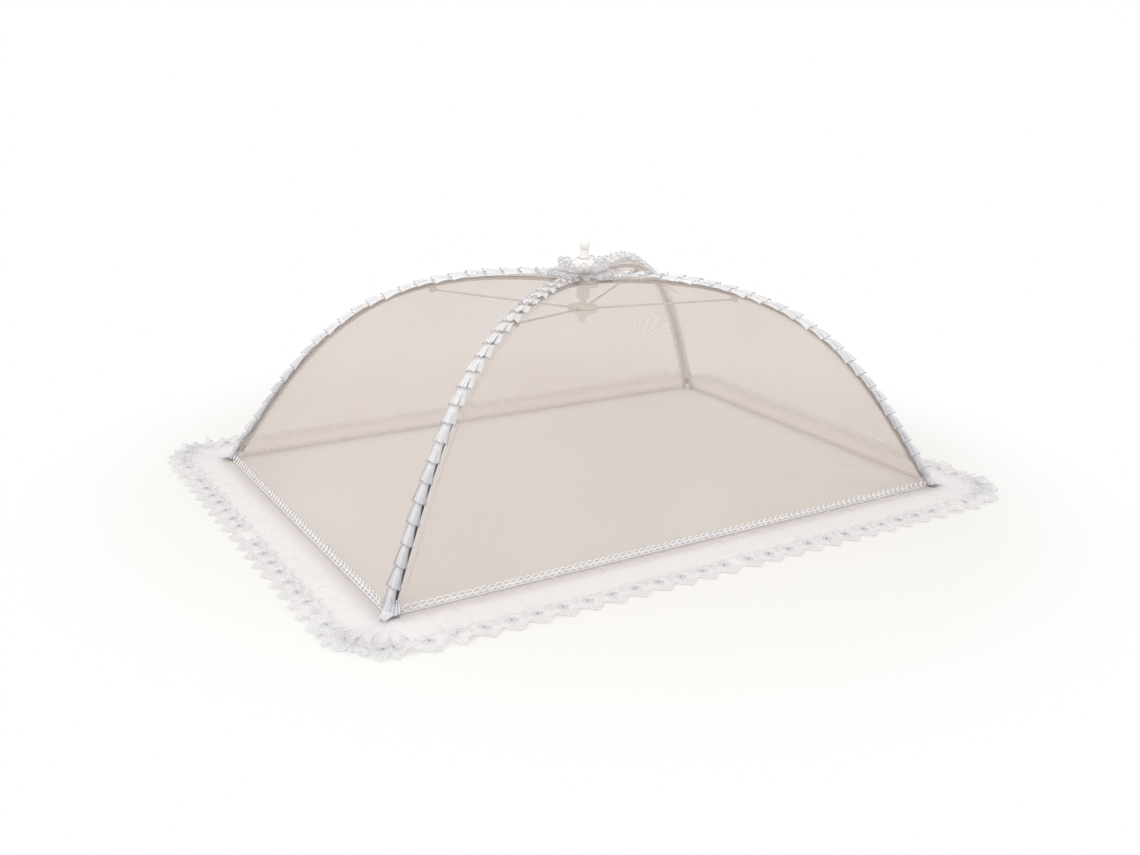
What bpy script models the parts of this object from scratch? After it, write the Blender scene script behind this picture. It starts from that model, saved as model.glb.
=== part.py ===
"""Pop-up mesh food cover on a folding umbrella frame, modelled standing open.

Metres, +Z up. The origin is on the table, under the knob. X runs along the long sides and Y along
the short ones, with the front at -Y. Four sprung wire ribs hang from a slotted hub. Four stretchers
join the ribs to a runner, and the hub's post snaps into the runner to hold the frame open. The net,
the hem and the lace are split along the fold line in the middle of each side, where the fabric
creases when the frame folds, so that each half goes with the rib that it is sewn to.

Every piece over a corner is worked out in the quadrant +X +Y and mirrored to its own corner.
"""

import math

import bmesh
import bpy
import numpy as np
from mathutils import Matrix, Vector

# The cover as a whole
BASE_LENGTH = 0.600
BASE_WIDTH = 0.410
PIVOT_HEIGHT = 0.200
SEAT_GAP = 0.0003
CUT_OVERRUN = 0.004

# The rib wires, from the hub's ring down to the corners of the hem
RIB_WIRE_RADIUS = 0.0015
RIB_END_HEIGHT = 0.003
RIB_CORNER_INSET = 0.0055
RIB_CURVE_SHARES = ((0.615, 1.08), (0.772, 0.645))
RIB_SPANS = 25

# The eyes at the ends of ribs and stretchers, and the rings through them
RING_RADIUS = 0.012
RING_WIRE_RADIUS = 0.0007
EYE_OUTER_RADIUS = 0.0019
EYE_PROUD = 0.0002
EYE_CLEARANCE = 0.00045
RING_SEGMENTS = 20
RING_SIDES = 5

# The hub and the runner, slotted discs with a groove for their ring. The hub's boss takes its
# share of the room between the two discs of the open frame
DISC_RADIUS = 0.015
DISC_RISE = 0.0020
DISC_DEPTH = 0.0040
GROOVE_CLEARANCE = 0.0004
SLOT_CLEARANCE = 0.0004
BOSS_RADIUS = 0.0065
HUB_BOSS_SHARE = 0.605
RUNNER_BOSS_LENGTH = 0.004
TURNED_SEGMENTS = 18

# The stretchers and the clips that hold them to the ribs
STRETCHER_WIRE_RADIUS = 0.0010
STRETCHER_REACH = 0.150
CLIP_LENGTH = 0.0060
CLIP_WALL = 0.0007
CLIP_PIN_RADIUS = 0.0007

# The post under the hub, which snaps through the runner
POST_RADIUS = 0.0030
POST_TIP_RADIUS = 0.0034
POST_TIP_LENGTH = 0.0050
POST_PASS = 0.0030
POST_TIP_CLEARANCE = 0.0004

# The caps on the lower ends of the ribs, cut flat to stand on the table
TIP_CAP_WALL = 0.0009
TIP_CAP_LENGTH = 0.0080
TIP_CAP_SIDES = 12

# The net, with the share of its depth that its middle is drawn in by its own tension, and the
# spans below the crown over which the hub still spreads it
NET_THICKNESS = 0.0008
NET_DRAWN_IN_SHARE = 0.30
NET_SPREAD_SPANS = 8
NET_DRAWN_IN_POWER = 1.5
NET_COLUMNS = 4
NET_HEM_HEIGHT = 0.0008
CROWN_LIFT = 0.0006

# The pleated trim along the ribs, in overlapping scales
TRIM_HALF_WIDTH = 0.0080
TRIM_SCALE_NARROWING = 0.0014
TRIM_THIN = 0.0006
TRIM_THICK = 0.0015
TRIM_TOP_SHARE = 0.60
TRIM_STEP_SHARE = 0.04
NARROWEST_SHARE = 0.10

# The braid round the hem, above the lace
BRAID_THICKNESS = 0.0012
BRAID_WIDTH = 0.0065

# The lace that lies on the table round the hem, and the gathers at its corners
LACE_THICKNESS = 0.0008
LACE_REACH_LONG_SIDES = 0.0675
LACE_REACH_SHORT_SIDES = 0.0630
LACE_SCALLOP_DEPTH = 0.0110
LONG_HALF_SCALLOPS = 13.0
SHORT_HALF_SCALLOPS = 9.5
GATHER_INNER_RADIUS = 0.0020
GATHER_FOLDS = 5
GATHER_FOLD_HEIGHT = 0.0110
GATHER_STEPS_PER_FOLD = 4
GATHER_ROWS = 3

# The crown: a lace ruffle, a domed cap and a knob to lift the cover by
RUFFLE_RADIUS = 0.029
RUFFLE_THICKNESS = 0.0008
RUFFLE_RISE = 0.0066
RUFFLE_WAVE = 0.0024
RUFFLE_WAVES = 8
RUFFLE_ROWS = 2
CAP_BOSS_RADIUS = 0.0060
CAP_RADIUS = 0.0130
CAP_UNDERSIDE_RISE = 0.0115
CAP_HEIGHT = 0.0095
CAP_RIM = 0.0016
KNOB_STEM_RADIUS = 0.0020
KNOB_NECK_RADIUS = 0.0038
KNOB_WAIST_RADIUS = 0.0030
KNOB_NECK_HEIGHT = 0.0080
KNOB_HEAD_RADIUS = 0.0050
KNOB_HEAD_HEIGHT = 0.0100
STEM_SOCKET_DEPTH = 0.0070
STEM_END_ROOM = 0.0010

# Colour, roughness and metallic value of each finish
FINISHES = {
    "white_plastic": ((0.90, 0.89, 0.86, 1.0), 0.35, 0.0),
    "spring_steel": ((0.30, 0.29, 0.27, 1.0), 0.35, 1.0),
    "stretcher_steel": ((0.46, 0.44, 0.42, 1.0), 0.40, 1.0),
    "net": ((0.82, 0.77, 0.74, 1.0), 0.90, 0.0),
    "organza_trim": ((0.86, 0.87, 0.91, 1.0), 0.70, 0.0),
    "silver_braid": ((0.84, 0.84, 0.88, 1.0), 0.60, 0.0),
    "lace": ((0.92, 0.91, 0.93, 1.0), 0.85, 0.0),
}

# Each corner of the base: the name of its X side, of its Y side, and their signs
CORNERS = (
    ("left", "front", -1, -1),
    ("right", "front", 1, -1),
    ("right", "rear", 1, 1),
    ("left", "rear", -1, 1),
)

TIP_CAP_RADIUS = RIB_WIRE_RADIUS + SEAT_GAP + TIP_CAP_WALL
CLIP_DROP = RIB_WIRE_RADIUS + SEAT_GAP + CLIP_WALL + SEAT_GAP + EYE_OUTER_RADIUS
HUB_TOP = PIVOT_HEIGHT + DISC_RISE
RIB_FOOT = Vector((BASE_LENGTH / 2 - RIB_CORNER_INSET, BASE_WIDTH / 2 - RIB_CORNER_INSET))
RIB_REACH = RIB_FOOT.length
RIB_HEADING = RIB_FOOT.normalized()


def clear_scene():
    for thing in list(bpy.data.objects):
        bpy.data.objects.remove(thing, do_unlink=True)


def finish_material(name, finish):
    colour, roughness, metallic = FINISHES[finish]
    material = bpy.data.materials.new(name)
    material.use_nodes = True
    shader = material.node_tree.nodes["Principled BSDF"]
    shader.inputs["Base Color"].default_value = colour
    shader.inputs["Roughness"].default_value = roughness
    shader.inputs["Metallic"].default_value = metallic
    material.diffuse_color = colour
    return material


def face_outwards(body):
    bmesh.ops.recalc_face_normals(body, faces=body.faces)
    if body.calc_volume(signed=True) < 0:
        bmesh.ops.reverse_faces(body, faces=body.faces)


def finished_object(name, mesh_builder, finish, pivot, smooth=False):
    """An object from a bmesh in world coordinates, hung on the empty of its pivot."""
    face_outwards(mesh_builder)
    mesh = bpy.data.meshes.new(name)
    mesh_builder.to_mesh(mesh)
    mesh_builder.free()
    mesh.transform(Matrix.Translation(-pivot["place"]))
    if smooth:
        mesh.shade_smooth()
        mesh.set_sharp_from_angle(angle=math.radians(35))
    item = bpy.data.objects.new(name, mesh)
    bpy.context.collection.objects.link(item)
    item.parent = pivot["empty"]
    item.data.materials.append(finish_material(name, finish))
    return item


def pivot_empty(name, place, carrier=None):
    """An empty on a joint's axis. Everything that the joint moves hangs on it."""
    empty = bpy.data.objects.new(name, None)
    empty.empty_display_size = RING_RADIUS
    bpy.context.collection.objects.link(empty)
    start = Vector((0, 0, 0))
    if carrier:
        empty.parent = carrier["empty"]
        start = carrier["place"]
    empty.location = place - start
    return {"empty": empty, "place": Vector(place)}


def cutter(name, mesh_builder):
    """A hidden object in world coordinates that a Boolean reads."""
    face_outwards(mesh_builder)
    mesh = bpy.data.meshes.new(name)
    mesh_builder.to_mesh(mesh)
    mesh_builder.free()
    item = bpy.data.objects.new(name, mesh)
    bpy.context.collection.objects.link(item)
    item.hide_render = True
    item.display_type = "WIRE"
    return item


def combine(item, other, operation):
    modifier = item.modifiers.new(operation.lower() + "_" + other.name, "BOOLEAN")
    modifier.operation = operation
    modifier.solver = "EXACT"
    modifier.object = other


# How the ribs run, and the skins laid over them


def rib_stations():
    """Points along a rib's centreline, evenly spaced, as reach from the axis and height."""
    start = np.array((RING_RADIUS, PIVOT_HEIGHT))
    end = np.array((RIB_REACH, RIB_END_HEIGHT))
    first, second = np.array(RIB_CURVE_SHARES) * (RIB_REACH, PIVOT_HEIGHT)
    t = np.linspace(0, 1, 40 * RIB_SPANS)[:, None]
    curve = (
        (1 - t) ** 3 * start
        + 3 * (1 - t) ** 2 * t * first
        + 3 * (1 - t) * t**2 * second
        + t**3 * end
    )
    run = np.concatenate([[0], np.cumsum(np.linalg.norm(np.diff(curve, axis=0), axis=1))])
    even = np.linspace(0, run[-1], RIB_SPANS + 1)
    return np.stack([np.interp(even, run, curve[:, k]) for k in (0, 1)], axis=1)


def skin_miter(slope):
    """The step off the rib that stands one unit clear of both nets, and each net's crossing width.

    slope is the rib's own direction as reach and height. Rulings of the long sides run along X
    and those of the short sides along Y.
    """
    along = Vector((RIB_HEADING.x * slope[0], RIB_HEADING.y * slope[0], slope[1])).normalized()
    off_long = Vector((0, -along.z, along.y)).normalized()
    off_short = Vector((-along.z, 0, along.x)).normalized()
    miter = Matrix((off_long, off_short, along)).inverted() @ Vector((1, 1, 0))
    crossing = (math.sqrt(1 - along.x**2), math.sqrt(1 - along.y**2))
    return miter, crossing


class Skin:
    """The surfaces over one rib in the quadrant +X +Y, at any height above the net's underside."""

    def __init__(self):
        stations = rib_stations()
        slopes = np.gradient(stations, axis=0)
        self.centre = [
            Vector((RIB_HEADING.x * reach, RIB_HEADING.y * reach, height))
            for reach, height in stations
        ]
        fitted = [skin_miter(slope) for slope in slopes]
        self.miter = [miter for miter, _ in fitted]
        self.crossing = [crossing for _, crossing in fitted]
        self.level = [RIB_WIRE_RADIUS + SEAT_GAP] * (RIB_SPANS + 1)
        self.level[0] += CROWN_LIFT
        self.level[-2:] = [TIP_CAP_RADIUS + SEAT_GAP] * 2
        self.drawn_in = [self.pull(side) for side in (0, 1)]

    def between(self, values, station):
        """A value between two stations. Past the last one the last span runs straight on."""
        low = min(max(int(math.floor(station)), 0), RIB_SPANS - 1)
        share = station - low
        return values(low) * (1 - share) + values(low + 1) * share

    def ridge(self, station, rise):
        """The point over the rib that stands rise above the net's underside."""
        return self.between(
            lambda i: self.centre[i] + self.miter[i] * (self.level[i] + rise), station
        )

    def pull(self, side):
        """How far the middle of the net is drawn in at each station, square to its chord."""
        other = 1 - side
        rows = [self.ridge(i, 0) for i in range(RIB_SPANS + 1)]
        flat = [Vector((row[other], row.z)) for row in rows]
        chord = (flat[-1] - flat[0]).normalized()
        inward = []
        for number, point in enumerate(flat):
            sag = (point - flat[0]) - chord * chord.dot(point - flat[0])
            spread = min(number / NET_SPREAD_SPANS, 1)
            share = NET_DRAWN_IN_SHARE * spread**2 * (3 - 2 * spread)
            step = Vector((0, 0, -sag.y * share))
            step[other] = -sag.x * share
            inward.append(step)
        return inward

    def point(self, side, station, rise, across):
        """A point of side 0, the long one, or 1. across is 1 at the rib and 0 at mid-side."""
        place = self.ridge(station, rise)
        place[side] *= across
        drawn = self.between(lambda i: self.drawn_in[side][i], station)
        return place + drawn * (1 - across**2) ** NET_DRAWN_IN_POWER

    def across_at(self, side, station, width):
        """The share of the way to the rib that leaves width between a point and the rib."""
        crossing = self.between(lambda i: self.crossing[i][side], station)
        half_side = self.ridge(station, 0)[side]
        return max(1 - width / (crossing * half_side), NARROWEST_SHARE)

    def station_at(self, height, rise):
        """The station in the last span where the skin is at a height above the table."""
        high = self.ridge(RIB_SPANS - 1, rise).z
        low = self.ridge(RIB_SPANS, rise).z
        return RIB_SPANS - 1 + (high - height) / (high - low)


SKIN = Skin()


def mirrored(place, signs):
    return Vector((place.x * signs[0], place.y * signs[1], place.z))


def solid_sheet(columns, rows, lower, upper, signs):
    """A closed sheet of columns by rows, between two surfaces that take (column, row)."""
    sheet = bmesh.new()
    bmesh.ops.create_grid(sheet, x_segments=columns, y_segments=rows, size=1.0)
    places = {
        vert: (round((vert.co.x + 1) / 2 * columns), round((vert.co.y + 1) / 2 * rows))
        for vert in sheet.verts
    }
    result = bmesh.ops.extrude_face_region(sheet, geom=sheet.faces[:], use_keep_orig=True)
    raised = [part for part in result["geom"] if isinstance(part, bmesh.types.BMVert)]
    for vert in raised:
        column = round((vert.co.x + 1) / 2 * columns)
        row = round((vert.co.y + 1) / 2 * rows)
        vert.co = mirrored(upper(column, row), signs)
    for vert, (column, row) in places.items():
        vert.co = mirrored(lower(column, row), signs)
    return sheet


def turned(profile, segments, centre=Vector((0, 0, 0))):
    """A solid turned about Z from a closed outline of (radius, height)."""
    body = bmesh.new()
    ring = [body.verts.new((radius, 0, height)) for radius, height in profile]
    edges = [body.edges.new((a, b)) for a, b in zip(ring, ring[1:])]
    closed = profile[0][0] > 0
    if closed:
        edges.append(body.edges.new((ring[-1], ring[0])))
    bmesh.ops.spin(
        body,
        geom=ring + edges,
        cent=(0, 0, 0),
        axis=(0, 0, 1),
        angle=math.tau,
        steps=segments,
        use_merge=True,
    )
    bmesh.ops.remove_doubles(body, verts=body.verts, dist=SEAT_GAP / 100)
    bmesh.ops.translate(body, verts=body.verts, vec=centre)
    return body


def rod(start, end, radius, sides):
    """A straight closed rod between two points."""
    body = bmesh.new()
    span = end - start
    turn = Vector((0, 0, 1)).rotation_difference(span).to_matrix().to_4x4()
    bmesh.ops.create_cone(
        body,
        cap_ends=True,
        segments=sides,
        radius1=radius,
        radius2=radius,
        depth=span.length,
        matrix=Matrix.Translation((start + end) / 2) @ turn,
    )
    return body


def block(centre, along, across, sizes):
    """A box whose first size runs along, whose second runs across, and whose third is square to both."""
    body = bmesh.new()
    square = along.cross(across)
    turn = Matrix((along, across, square)).transposed().to_4x4()
    bmesh.ops.create_cube(
        body, size=1.0, matrix=Matrix.Translation(centre) @ turn @ Matrix.Diagonal((*sizes, 1))
    )
    return body


def bent_wire(name, points, radius):
    """A round wire with flat ends through a list of points, as a bmesh."""
    curve = bpy.data.curves.new(name, "CURVE")
    curve.dimensions = "3D"
    curve.bevel_depth = radius
    curve.bevel_resolution = 2
    curve.use_fill_caps = True
    line = curve.splines.new("POLY")
    line.points.add(len(points) - 1)
    for knot, place in zip(line.points, points):
        knot.co = (*place, 1)
    guide = bpy.data.objects.new(name, curve)
    bpy.context.collection.objects.link(guide)
    bpy.context.view_layer.update()
    mesh = bpy.data.meshes.new_from_object(guide.evaluated_get(bpy.context.evaluated_depsgraph_get()))
    bpy.data.objects.remove(guide, do_unlink=True)
    body = bmesh.new()
    body.from_mesh(mesh)
    bmesh.ops.remove_doubles(body, verts=body.verts, dist=SEAT_GAP / 100)
    return body


# Where each corner's frame pivots


class Corner:
    """One corner's names, signs and pivots."""

    def __init__(self, x_name, y_name, x_sign, y_sign):
        self.x_name = x_name
        self.y_name = y_name
        self.name = y_name + "_" + x_name
        self.signs = (x_sign, y_sign)
        self.heading = mirrored(Vector((*RIB_HEADING, 0)), self.signs)
        self.hinge_axis = Vector((0, 0, 1)).cross(self.heading)
        self.line = [mirrored(place, self.signs) for place in SKIN.centre]
        self.hub_pivot = self.line[0]
        self.clip_seat, self.clip_along = self.clip_place()
        self.clip_down = self.clip_along.cross(self.hinge_axis)
        if self.clip_down.z > 0:
            self.clip_down.negate()
        self.clip_pivot = self.clip_seat + self.clip_down * CLIP_DROP
        self.runner_pivot = self.hub_pivot.copy()
        self.runner_pivot.z = 2 * self.clip_pivot.z - self.hub_pivot.z

    def clip_place(self):
        """Where the wire is at the stretcher's reach, and which way it runs there."""
        for near, far in zip(self.line, self.line[1:]):
            near_reach, far_reach = near.xy.length, far.xy.length
            if near_reach <= STRETCHER_REACH <= far_reach:
                share = (STRETCHER_REACH - near_reach) / (far_reach - near_reach)
                return near.lerp(far, share), (far - near).normalized()
        return self.line[1], (self.line[1] - self.line[0]).normalized()


RUNNER_HEIGHT = Corner(*CORNERS[0]).runner_pivot.z
HUB_BOSS_LENGTH = HUB_BOSS_SHARE * (PIVOT_HEIGHT - DISC_DEPTH - RUNNER_HEIGHT - DISC_RISE)
POST_SOCKET_DEPTH = HUB_BOSS_LENGTH + DISC_DEPTH + DISC_RISE - STEM_SOCKET_DEPTH - STEM_END_ROOM


# The pieces


def wire_with_eyes(name, points, radius, eyes, eye_axis, hole_radius, pivot, finish):
    """A wire whose ends are closed to flat eyes, each with its hole."""
    wire = finished_object(name, bent_wire(name, points, radius), finish, pivot)
    reach = eye_axis * (radius + EYE_PROUD)
    over = eye_axis * (radius + EYE_PROUD + CUT_OVERRUN)
    for number, place in enumerate(eyes):
        eye = rod(place - reach, place + reach, EYE_OUTER_RADIUS, 12)
        combine(wire, cutter(f"{name}_eye_{number}", eye), "UNION")
    for number, place in enumerate(eyes):
        hole = rod(place - over, place + over, hole_radius, 10)
        combine(wire, cutter(f"{name}_eye_hole_{number}", hole), "DIFFERENCE")
    return wire


def rib(corner, pivot):
    wire_with_eyes(
        "rib_" + corner.name,
        corner.line,
        RIB_WIRE_RADIUS,
        [corner.hub_pivot],
        corner.hinge_axis,
        RING_WIRE_RADIUS + EYE_CLEARANCE,
        pivot,
        "spring_steel",
    )


def stretcher(corner, pivot):
    wire_with_eyes(
        "stretcher_" + corner.name,
        [corner.clip_pivot, corner.runner_pivot],
        STRETCHER_WIRE_RADIUS,
        [corner.clip_pivot, corner.runner_pivot],
        corner.hinge_axis,
        RING_WIRE_RADIUS + EYE_CLEARANCE,
        pivot,
        "stretcher_steel",
    )


def stretcher_clip(corner, pivot):
    """A saddle under the rib wire. Its two cheeks hold the pin that the stretcher turns on."""
    along, across, down = corner.clip_along, corner.hinge_axis, corner.clip_down
    inner_width = 2 * (RIB_WIRE_RADIUS + SEAT_GAP)
    outer_width = inner_width + 2 * CLIP_WALL
    depth = CLIP_DROP + EYE_OUTER_RADIUS
    middle = corner.clip_seat + down * depth / 2
    name = "stretcher_clip_" + corner.name
    clip = finished_object(
        name,
        block(middle, along, across, (CLIP_LENGTH, outer_width, depth)),
        "stretcher_steel",
        pivot,
    )
    long_cut = CLIP_LENGTH + 2 * CUT_OVERRUN
    seat_depth = RIB_WIRE_RADIUS + SEAT_GAP
    seat_cut = block(
        corner.clip_seat + down * (seat_depth - CUT_OVERRUN) / 2,
        along,
        across,
        (long_cut, inner_width, seat_depth + CUT_OVERRUN),
    )
    fork_top = seat_depth + CLIP_WALL
    fork_cut = block(
        corner.clip_seat + down * (fork_top + depth + CUT_OVERRUN) / 2,
        along,
        across,
        (long_cut, inner_width, depth + CUT_OVERRUN - fork_top),
    )
    combine(clip, cutter(name + "_seat_cut", seat_cut), "DIFFERENCE")
    combine(clip, cutter(name + "_fork_cut", fork_cut), "DIFFERENCE")
    reach = across * (outer_width / 2)
    pin = rod(corner.clip_pivot - reach, corner.clip_pivot + reach, CLIP_PIN_RADIUS, 10)
    combine(clip, cutter(name + "_pin", pin), "UNION")


def rib_tip(corner, pivot):
    """The cap on the lower end of a rib, cut flat where it stands on the table."""
    end = corner.line[-1]
    along = (end - corner.line[-2]).normalized()
    name = "rib_tip_" + corner.name
    top = end - along * TIP_CAP_LENGTH
    past_table = end + along * (RIB_END_HEIGHT + TIP_CAP_RADIUS) / -along.z
    tip = finished_object(
        name, rod(top, past_table, TIP_CAP_RADIUS, TIP_CAP_SIDES), "white_plastic", pivot
    )
    bore_radius = RIB_WIRE_RADIUS + SEAT_GAP
    bore = rod(top - along * CUT_OVERRUN, end + along * SEAT_GAP, bore_radius, TIP_CAP_SIDES)
    combine(tip, cutter(name + "_bore", bore), "DIFFERENCE")
    wide = 4 * TIP_CAP_RADIUS + CUT_OVERRUN
    below = Vector((end.x, end.y, -wide / 2))
    table = block(below, Vector((1, 0, 0)), Vector((0, 1, 0)), (2 * wide, 2 * wide, wide))
    combine(tip, cutter(name + "_table", table), "DIFFERENCE")


def net_across(side, column, station, seam):
    """The columns of a net half: its seam, the trim's edge, and even steps to mid-side."""
    if column == 0:
        return 1 - seam / SKIN.ridge(station, 0)[side]
    edge = SKIN.across_at(side, station, TRIM_HALF_WIDTH)
    middle = SEAT_GAP / 2 / SKIN.ridge(station, 0)[side]
    share = (column - 1) / (NET_COLUMNS - 1)
    return edge + (middle - edge) * share


def seam_step(side):
    """Half the gap at the rib between two nets, measured along this side's ruling."""
    return SEAT_GAP / 2 / RIB_HEADING[1 - side]


def side_names(corner, side):
    """The side that a half belongs to, and the end of the side that it is at."""
    if side == 0:
        return corner.y_name, corner.x_name
    return corner.x_name, corner.y_name


def net_half(corner, side, pivot):
    first, last = side_names(corner, side)

    def level(rise):
        def place(column, row):
            station = float(row)
            if row == RIB_SPANS:
                station = SKIN.station_at(NET_HEM_HEIGHT, rise)
            across = net_across(side, column, station, seam_step(side))
            return SKIN.point(side, station, rise, across)

        return place

    sheet = solid_sheet(NET_COLUMNS, RIB_SPANS, level(0), level(NET_THICKNESS), corner.signs)
    finished_object(f"{first}_net_{last}_half", sheet, "net", pivot)


def rib_trim(corner, pivot):
    """A strip over the net's seam. Each scale widens and thickens towards the one below it."""
    under = NET_THICKNESS + SEAT_GAP
    rings = []
    for scale in range(RIB_SPANS):
        low = max(scale, TRIM_TOP_SHARE) + TRIM_STEP_SHARE / 2
        rings.append((low, TRIM_THIN, TRIM_HALF_WIDTH - TRIM_SCALE_NARROWING))
        rings.append((scale + 1 - TRIM_STEP_SHARE / 2, TRIM_THICK, TRIM_HALF_WIDTH))
    lowest = SKIN.station_at(LACE_THICKNESS + 2 * SEAT_GAP, under)
    rings[-1] = (lowest, *rings[-1][1:])

    def level(thickness_share):
        def place(column, row):
            station, thickness, width = rings[row]
            rise = under + thickness * thickness_share
            if column == 1:
                return SKIN.ridge(station, rise)
            side = 0 if column == 0 else 1
            across = SKIN.across_at(side, station, width)
            return SKIN.point(side, station, rise, across)

        return place

    sheet = solid_sheet(2, len(rings) - 1, level(0), level(1), corner.signs)
    finished_object("rib_trim_" + corner.name, sheet, "organza_trim", pivot)


def hem_braid_half(corner, side, pivot):
    """A flat braid on the net's outer face, just above the lace, from trim to mid-side."""
    first, last = side_names(corner, side)
    under = NET_THICKNESS + SEAT_GAP
    span = (SKIN.centre[-1] - SKIN.centre[-2]).length

    def level(rise):
        def place(column, row):
            bottom = SKIN.station_at(LACE_THICKNESS + 2 * SEAT_GAP, rise)
            station = bottom - row * BRAID_WIDTH / span
            edge = SKIN.across_at(side, station, TRIM_HALF_WIDTH + 2 * SEAT_GAP)
            middle = SEAT_GAP / 2 / SKIN.ridge(station, 0)[side]
            across = edge + (middle - edge) * column / (NET_COLUMNS - 1)
            return SKIN.point(side, station, rise, across)

        return place

    sheet = solid_sheet(NET_COLUMNS - 1, 1, level(under), level(under + BRAID_THICKNESS), corner.signs)
    finished_object(f"{first}_hem_braid_{last}_half", sheet, "silver_braid", pivot)


def hem_corner():
    """The outer corner of the net's hem in plan, where the lace starts."""
    foot = SKIN.ridge(SKIN.station_at(NET_HEM_HEIGHT, NET_THICKNESS), NET_THICKNESS)
    return Vector((foot.x, foot.y, 0))


def lace_half(corner, side, pivot):
    """A flat strip from the hem to a zigzag edge of points, from mid-side to the corner."""
    first, last = side_names(corner, side)
    start = hem_corner()
    reach = (LACE_REACH_LONG_SIDES, LACE_REACH_SHORT_SIDES)[side]
    scallops = (LONG_HALF_SCALLOPS, SHORT_HALF_SCALLOPS)[side]
    columns = round(2 * scallops)
    length = start[side] - SEAT_GAP / 2

    def level(height):
        def place(column, row):
            spot = Vector((0, 0, height))
            spot[side] = SEAT_GAP / 2 + (length - SEAT_GAP / 2) * (1 - column / columns)
            out = SEAT_GAP
            if row == 1:
                out = reach - (0 if column % 2 else LACE_SCALLOP_DEPTH)
            spot[1 - side] = start[1 - side] + out
            return spot

        return place

    sheet = solid_sheet(columns, 1, level(0), level(LACE_THICKNESS), corner.signs)
    finished_object(f"{first}_lace_{last}_half", sheet, "lace", pivot)


def corner_gather(corner, pivot):
    """The fan of folds that carries the lace round a corner of the hem."""
    start = hem_corner() + Vector((SEAT_GAP, SEAT_GAP, 0))
    columns = GATHER_FOLDS * GATHER_STEPS_PER_FOLD
    notch = LACE_SCALLOP_DEPTH

    def level(rise):
        def place(column, row):
            turn = column / columns * math.pi / 2
            fold = (1 - math.cos(GATHER_FOLDS * column / columns * math.tau)) / 2
            out = row / GATHER_ROWS
            even = math.cos(turn) ** 2
            reach = LACE_REACH_SHORT_SIDES * even + LACE_REACH_LONG_SIDES * (1 - even)
            tip = reach - notch * (1 - fold)
            radius = GATHER_INNER_RADIUS + (tip - GATHER_INNER_RADIUS) * out
            height = rise + GATHER_FOLD_HEIGHT * fold * out
            return start + Vector((radius * math.cos(turn), radius * math.sin(turn), height))

        return place

    sheet = solid_sheet(columns, GATHER_ROWS, level(0), level(LACE_THICKNESS), corner.signs)
    finished_object("corner_gather_" + corner.name, sheet, "lace", pivot)


def slotted_disc(name, height, bore, boss_length, wire_radius, pivot):
    """A turned disc with a groove for its ring and a slot for each wire that hangs on it.

    bore lists the radius of the bore from the bottom up, with the height where each radius ends.
    """
    top = height + DISC_RISE
    bottom = height - DISC_DEPTH
    groove_depth = RING_RADIUS - RING_WIRE_RADIUS - GROOVE_CLEARANCE
    groove_half = RING_WIRE_RADIUS + GROOVE_CLEARANCE
    outline = [
        (BOSS_RADIUS, bottom - boss_length),
        (BOSS_RADIUS, bottom),
        (DISC_RADIUS, bottom),
        (DISC_RADIUS, height - groove_half),
        (groove_depth, height - groove_half),
        (groove_depth, height + groove_half),
        (DISC_RADIUS, height + groove_half),
        (DISC_RADIUS, top),
        *bore,
    ]
    disc = finished_object(name, turned(outline, TURNED_SEGMENTS), "white_plastic", pivot, smooth=True)
    slot_start = RING_RADIUS - EYE_OUTER_RADIUS - SLOT_CLEARANCE
    slot_end = DISC_RADIUS + CUT_OVERRUN
    for corner in map(Corner, *zip(*CORNERS)):
        middle = corner.heading * (slot_start + slot_end) / 2
        middle.z = (top + bottom) / 2
        sizes = (
            slot_end - slot_start,
            2 * (wire_radius + EYE_PROUD + SLOT_CLEARANCE),
            top - bottom + 2 * CUT_OVERRUN,
        )
        slot = block(middle, corner.heading, corner.hinge_axis, sizes)
        combine(disc, cutter(f"{name}_slot_{corner.name}", slot), "DIFFERENCE")


def disc_ring(name, height, pivot):
    """The wire ring that threads the eyes and lies in a disc's groove."""
    circle = [
        (
            RING_RADIUS + RING_WIRE_RADIUS * math.cos(math.tau * side / RING_SIDES),
            height + RING_WIRE_RADIUS * math.sin(math.tau * side / RING_SIDES),
        )
        for side in range(RING_SIDES)
    ]
    finished_object(name, turned(circle, RING_SEGMENTS), "spring_steel", pivot, smooth=True)


def hub(pivot):
    bottom = PIVOT_HEIGHT - DISC_DEPTH - HUB_BOSS_LENGTH
    step = bottom + POST_SOCKET_DEPTH
    bore = [
        (KNOB_STEM_RADIUS + SEAT_GAP, HUB_TOP),
        (KNOB_STEM_RADIUS + SEAT_GAP, step),
        (POST_RADIUS + SEAT_GAP, step),
        (POST_RADIUS + SEAT_GAP, bottom),
    ]
    slotted_disc("hub", PIVOT_HEIGHT, bore, HUB_BOSS_LENGTH, RIB_WIRE_RADIUS, pivot)


def runner(pivot):
    bottom = RUNNER_HEIGHT - DISC_DEPTH - RUNNER_BOSS_LENGTH
    bore_radius = POST_TIP_RADIUS + POST_TIP_CLEARANCE
    bore = [(bore_radius, RUNNER_HEIGHT + DISC_RISE), (bore_radius, bottom)]
    slotted_disc("runner", RUNNER_HEIGHT, bore, RUNNER_BOSS_LENGTH, STRETCHER_WIRE_RADIUS, pivot)


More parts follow.
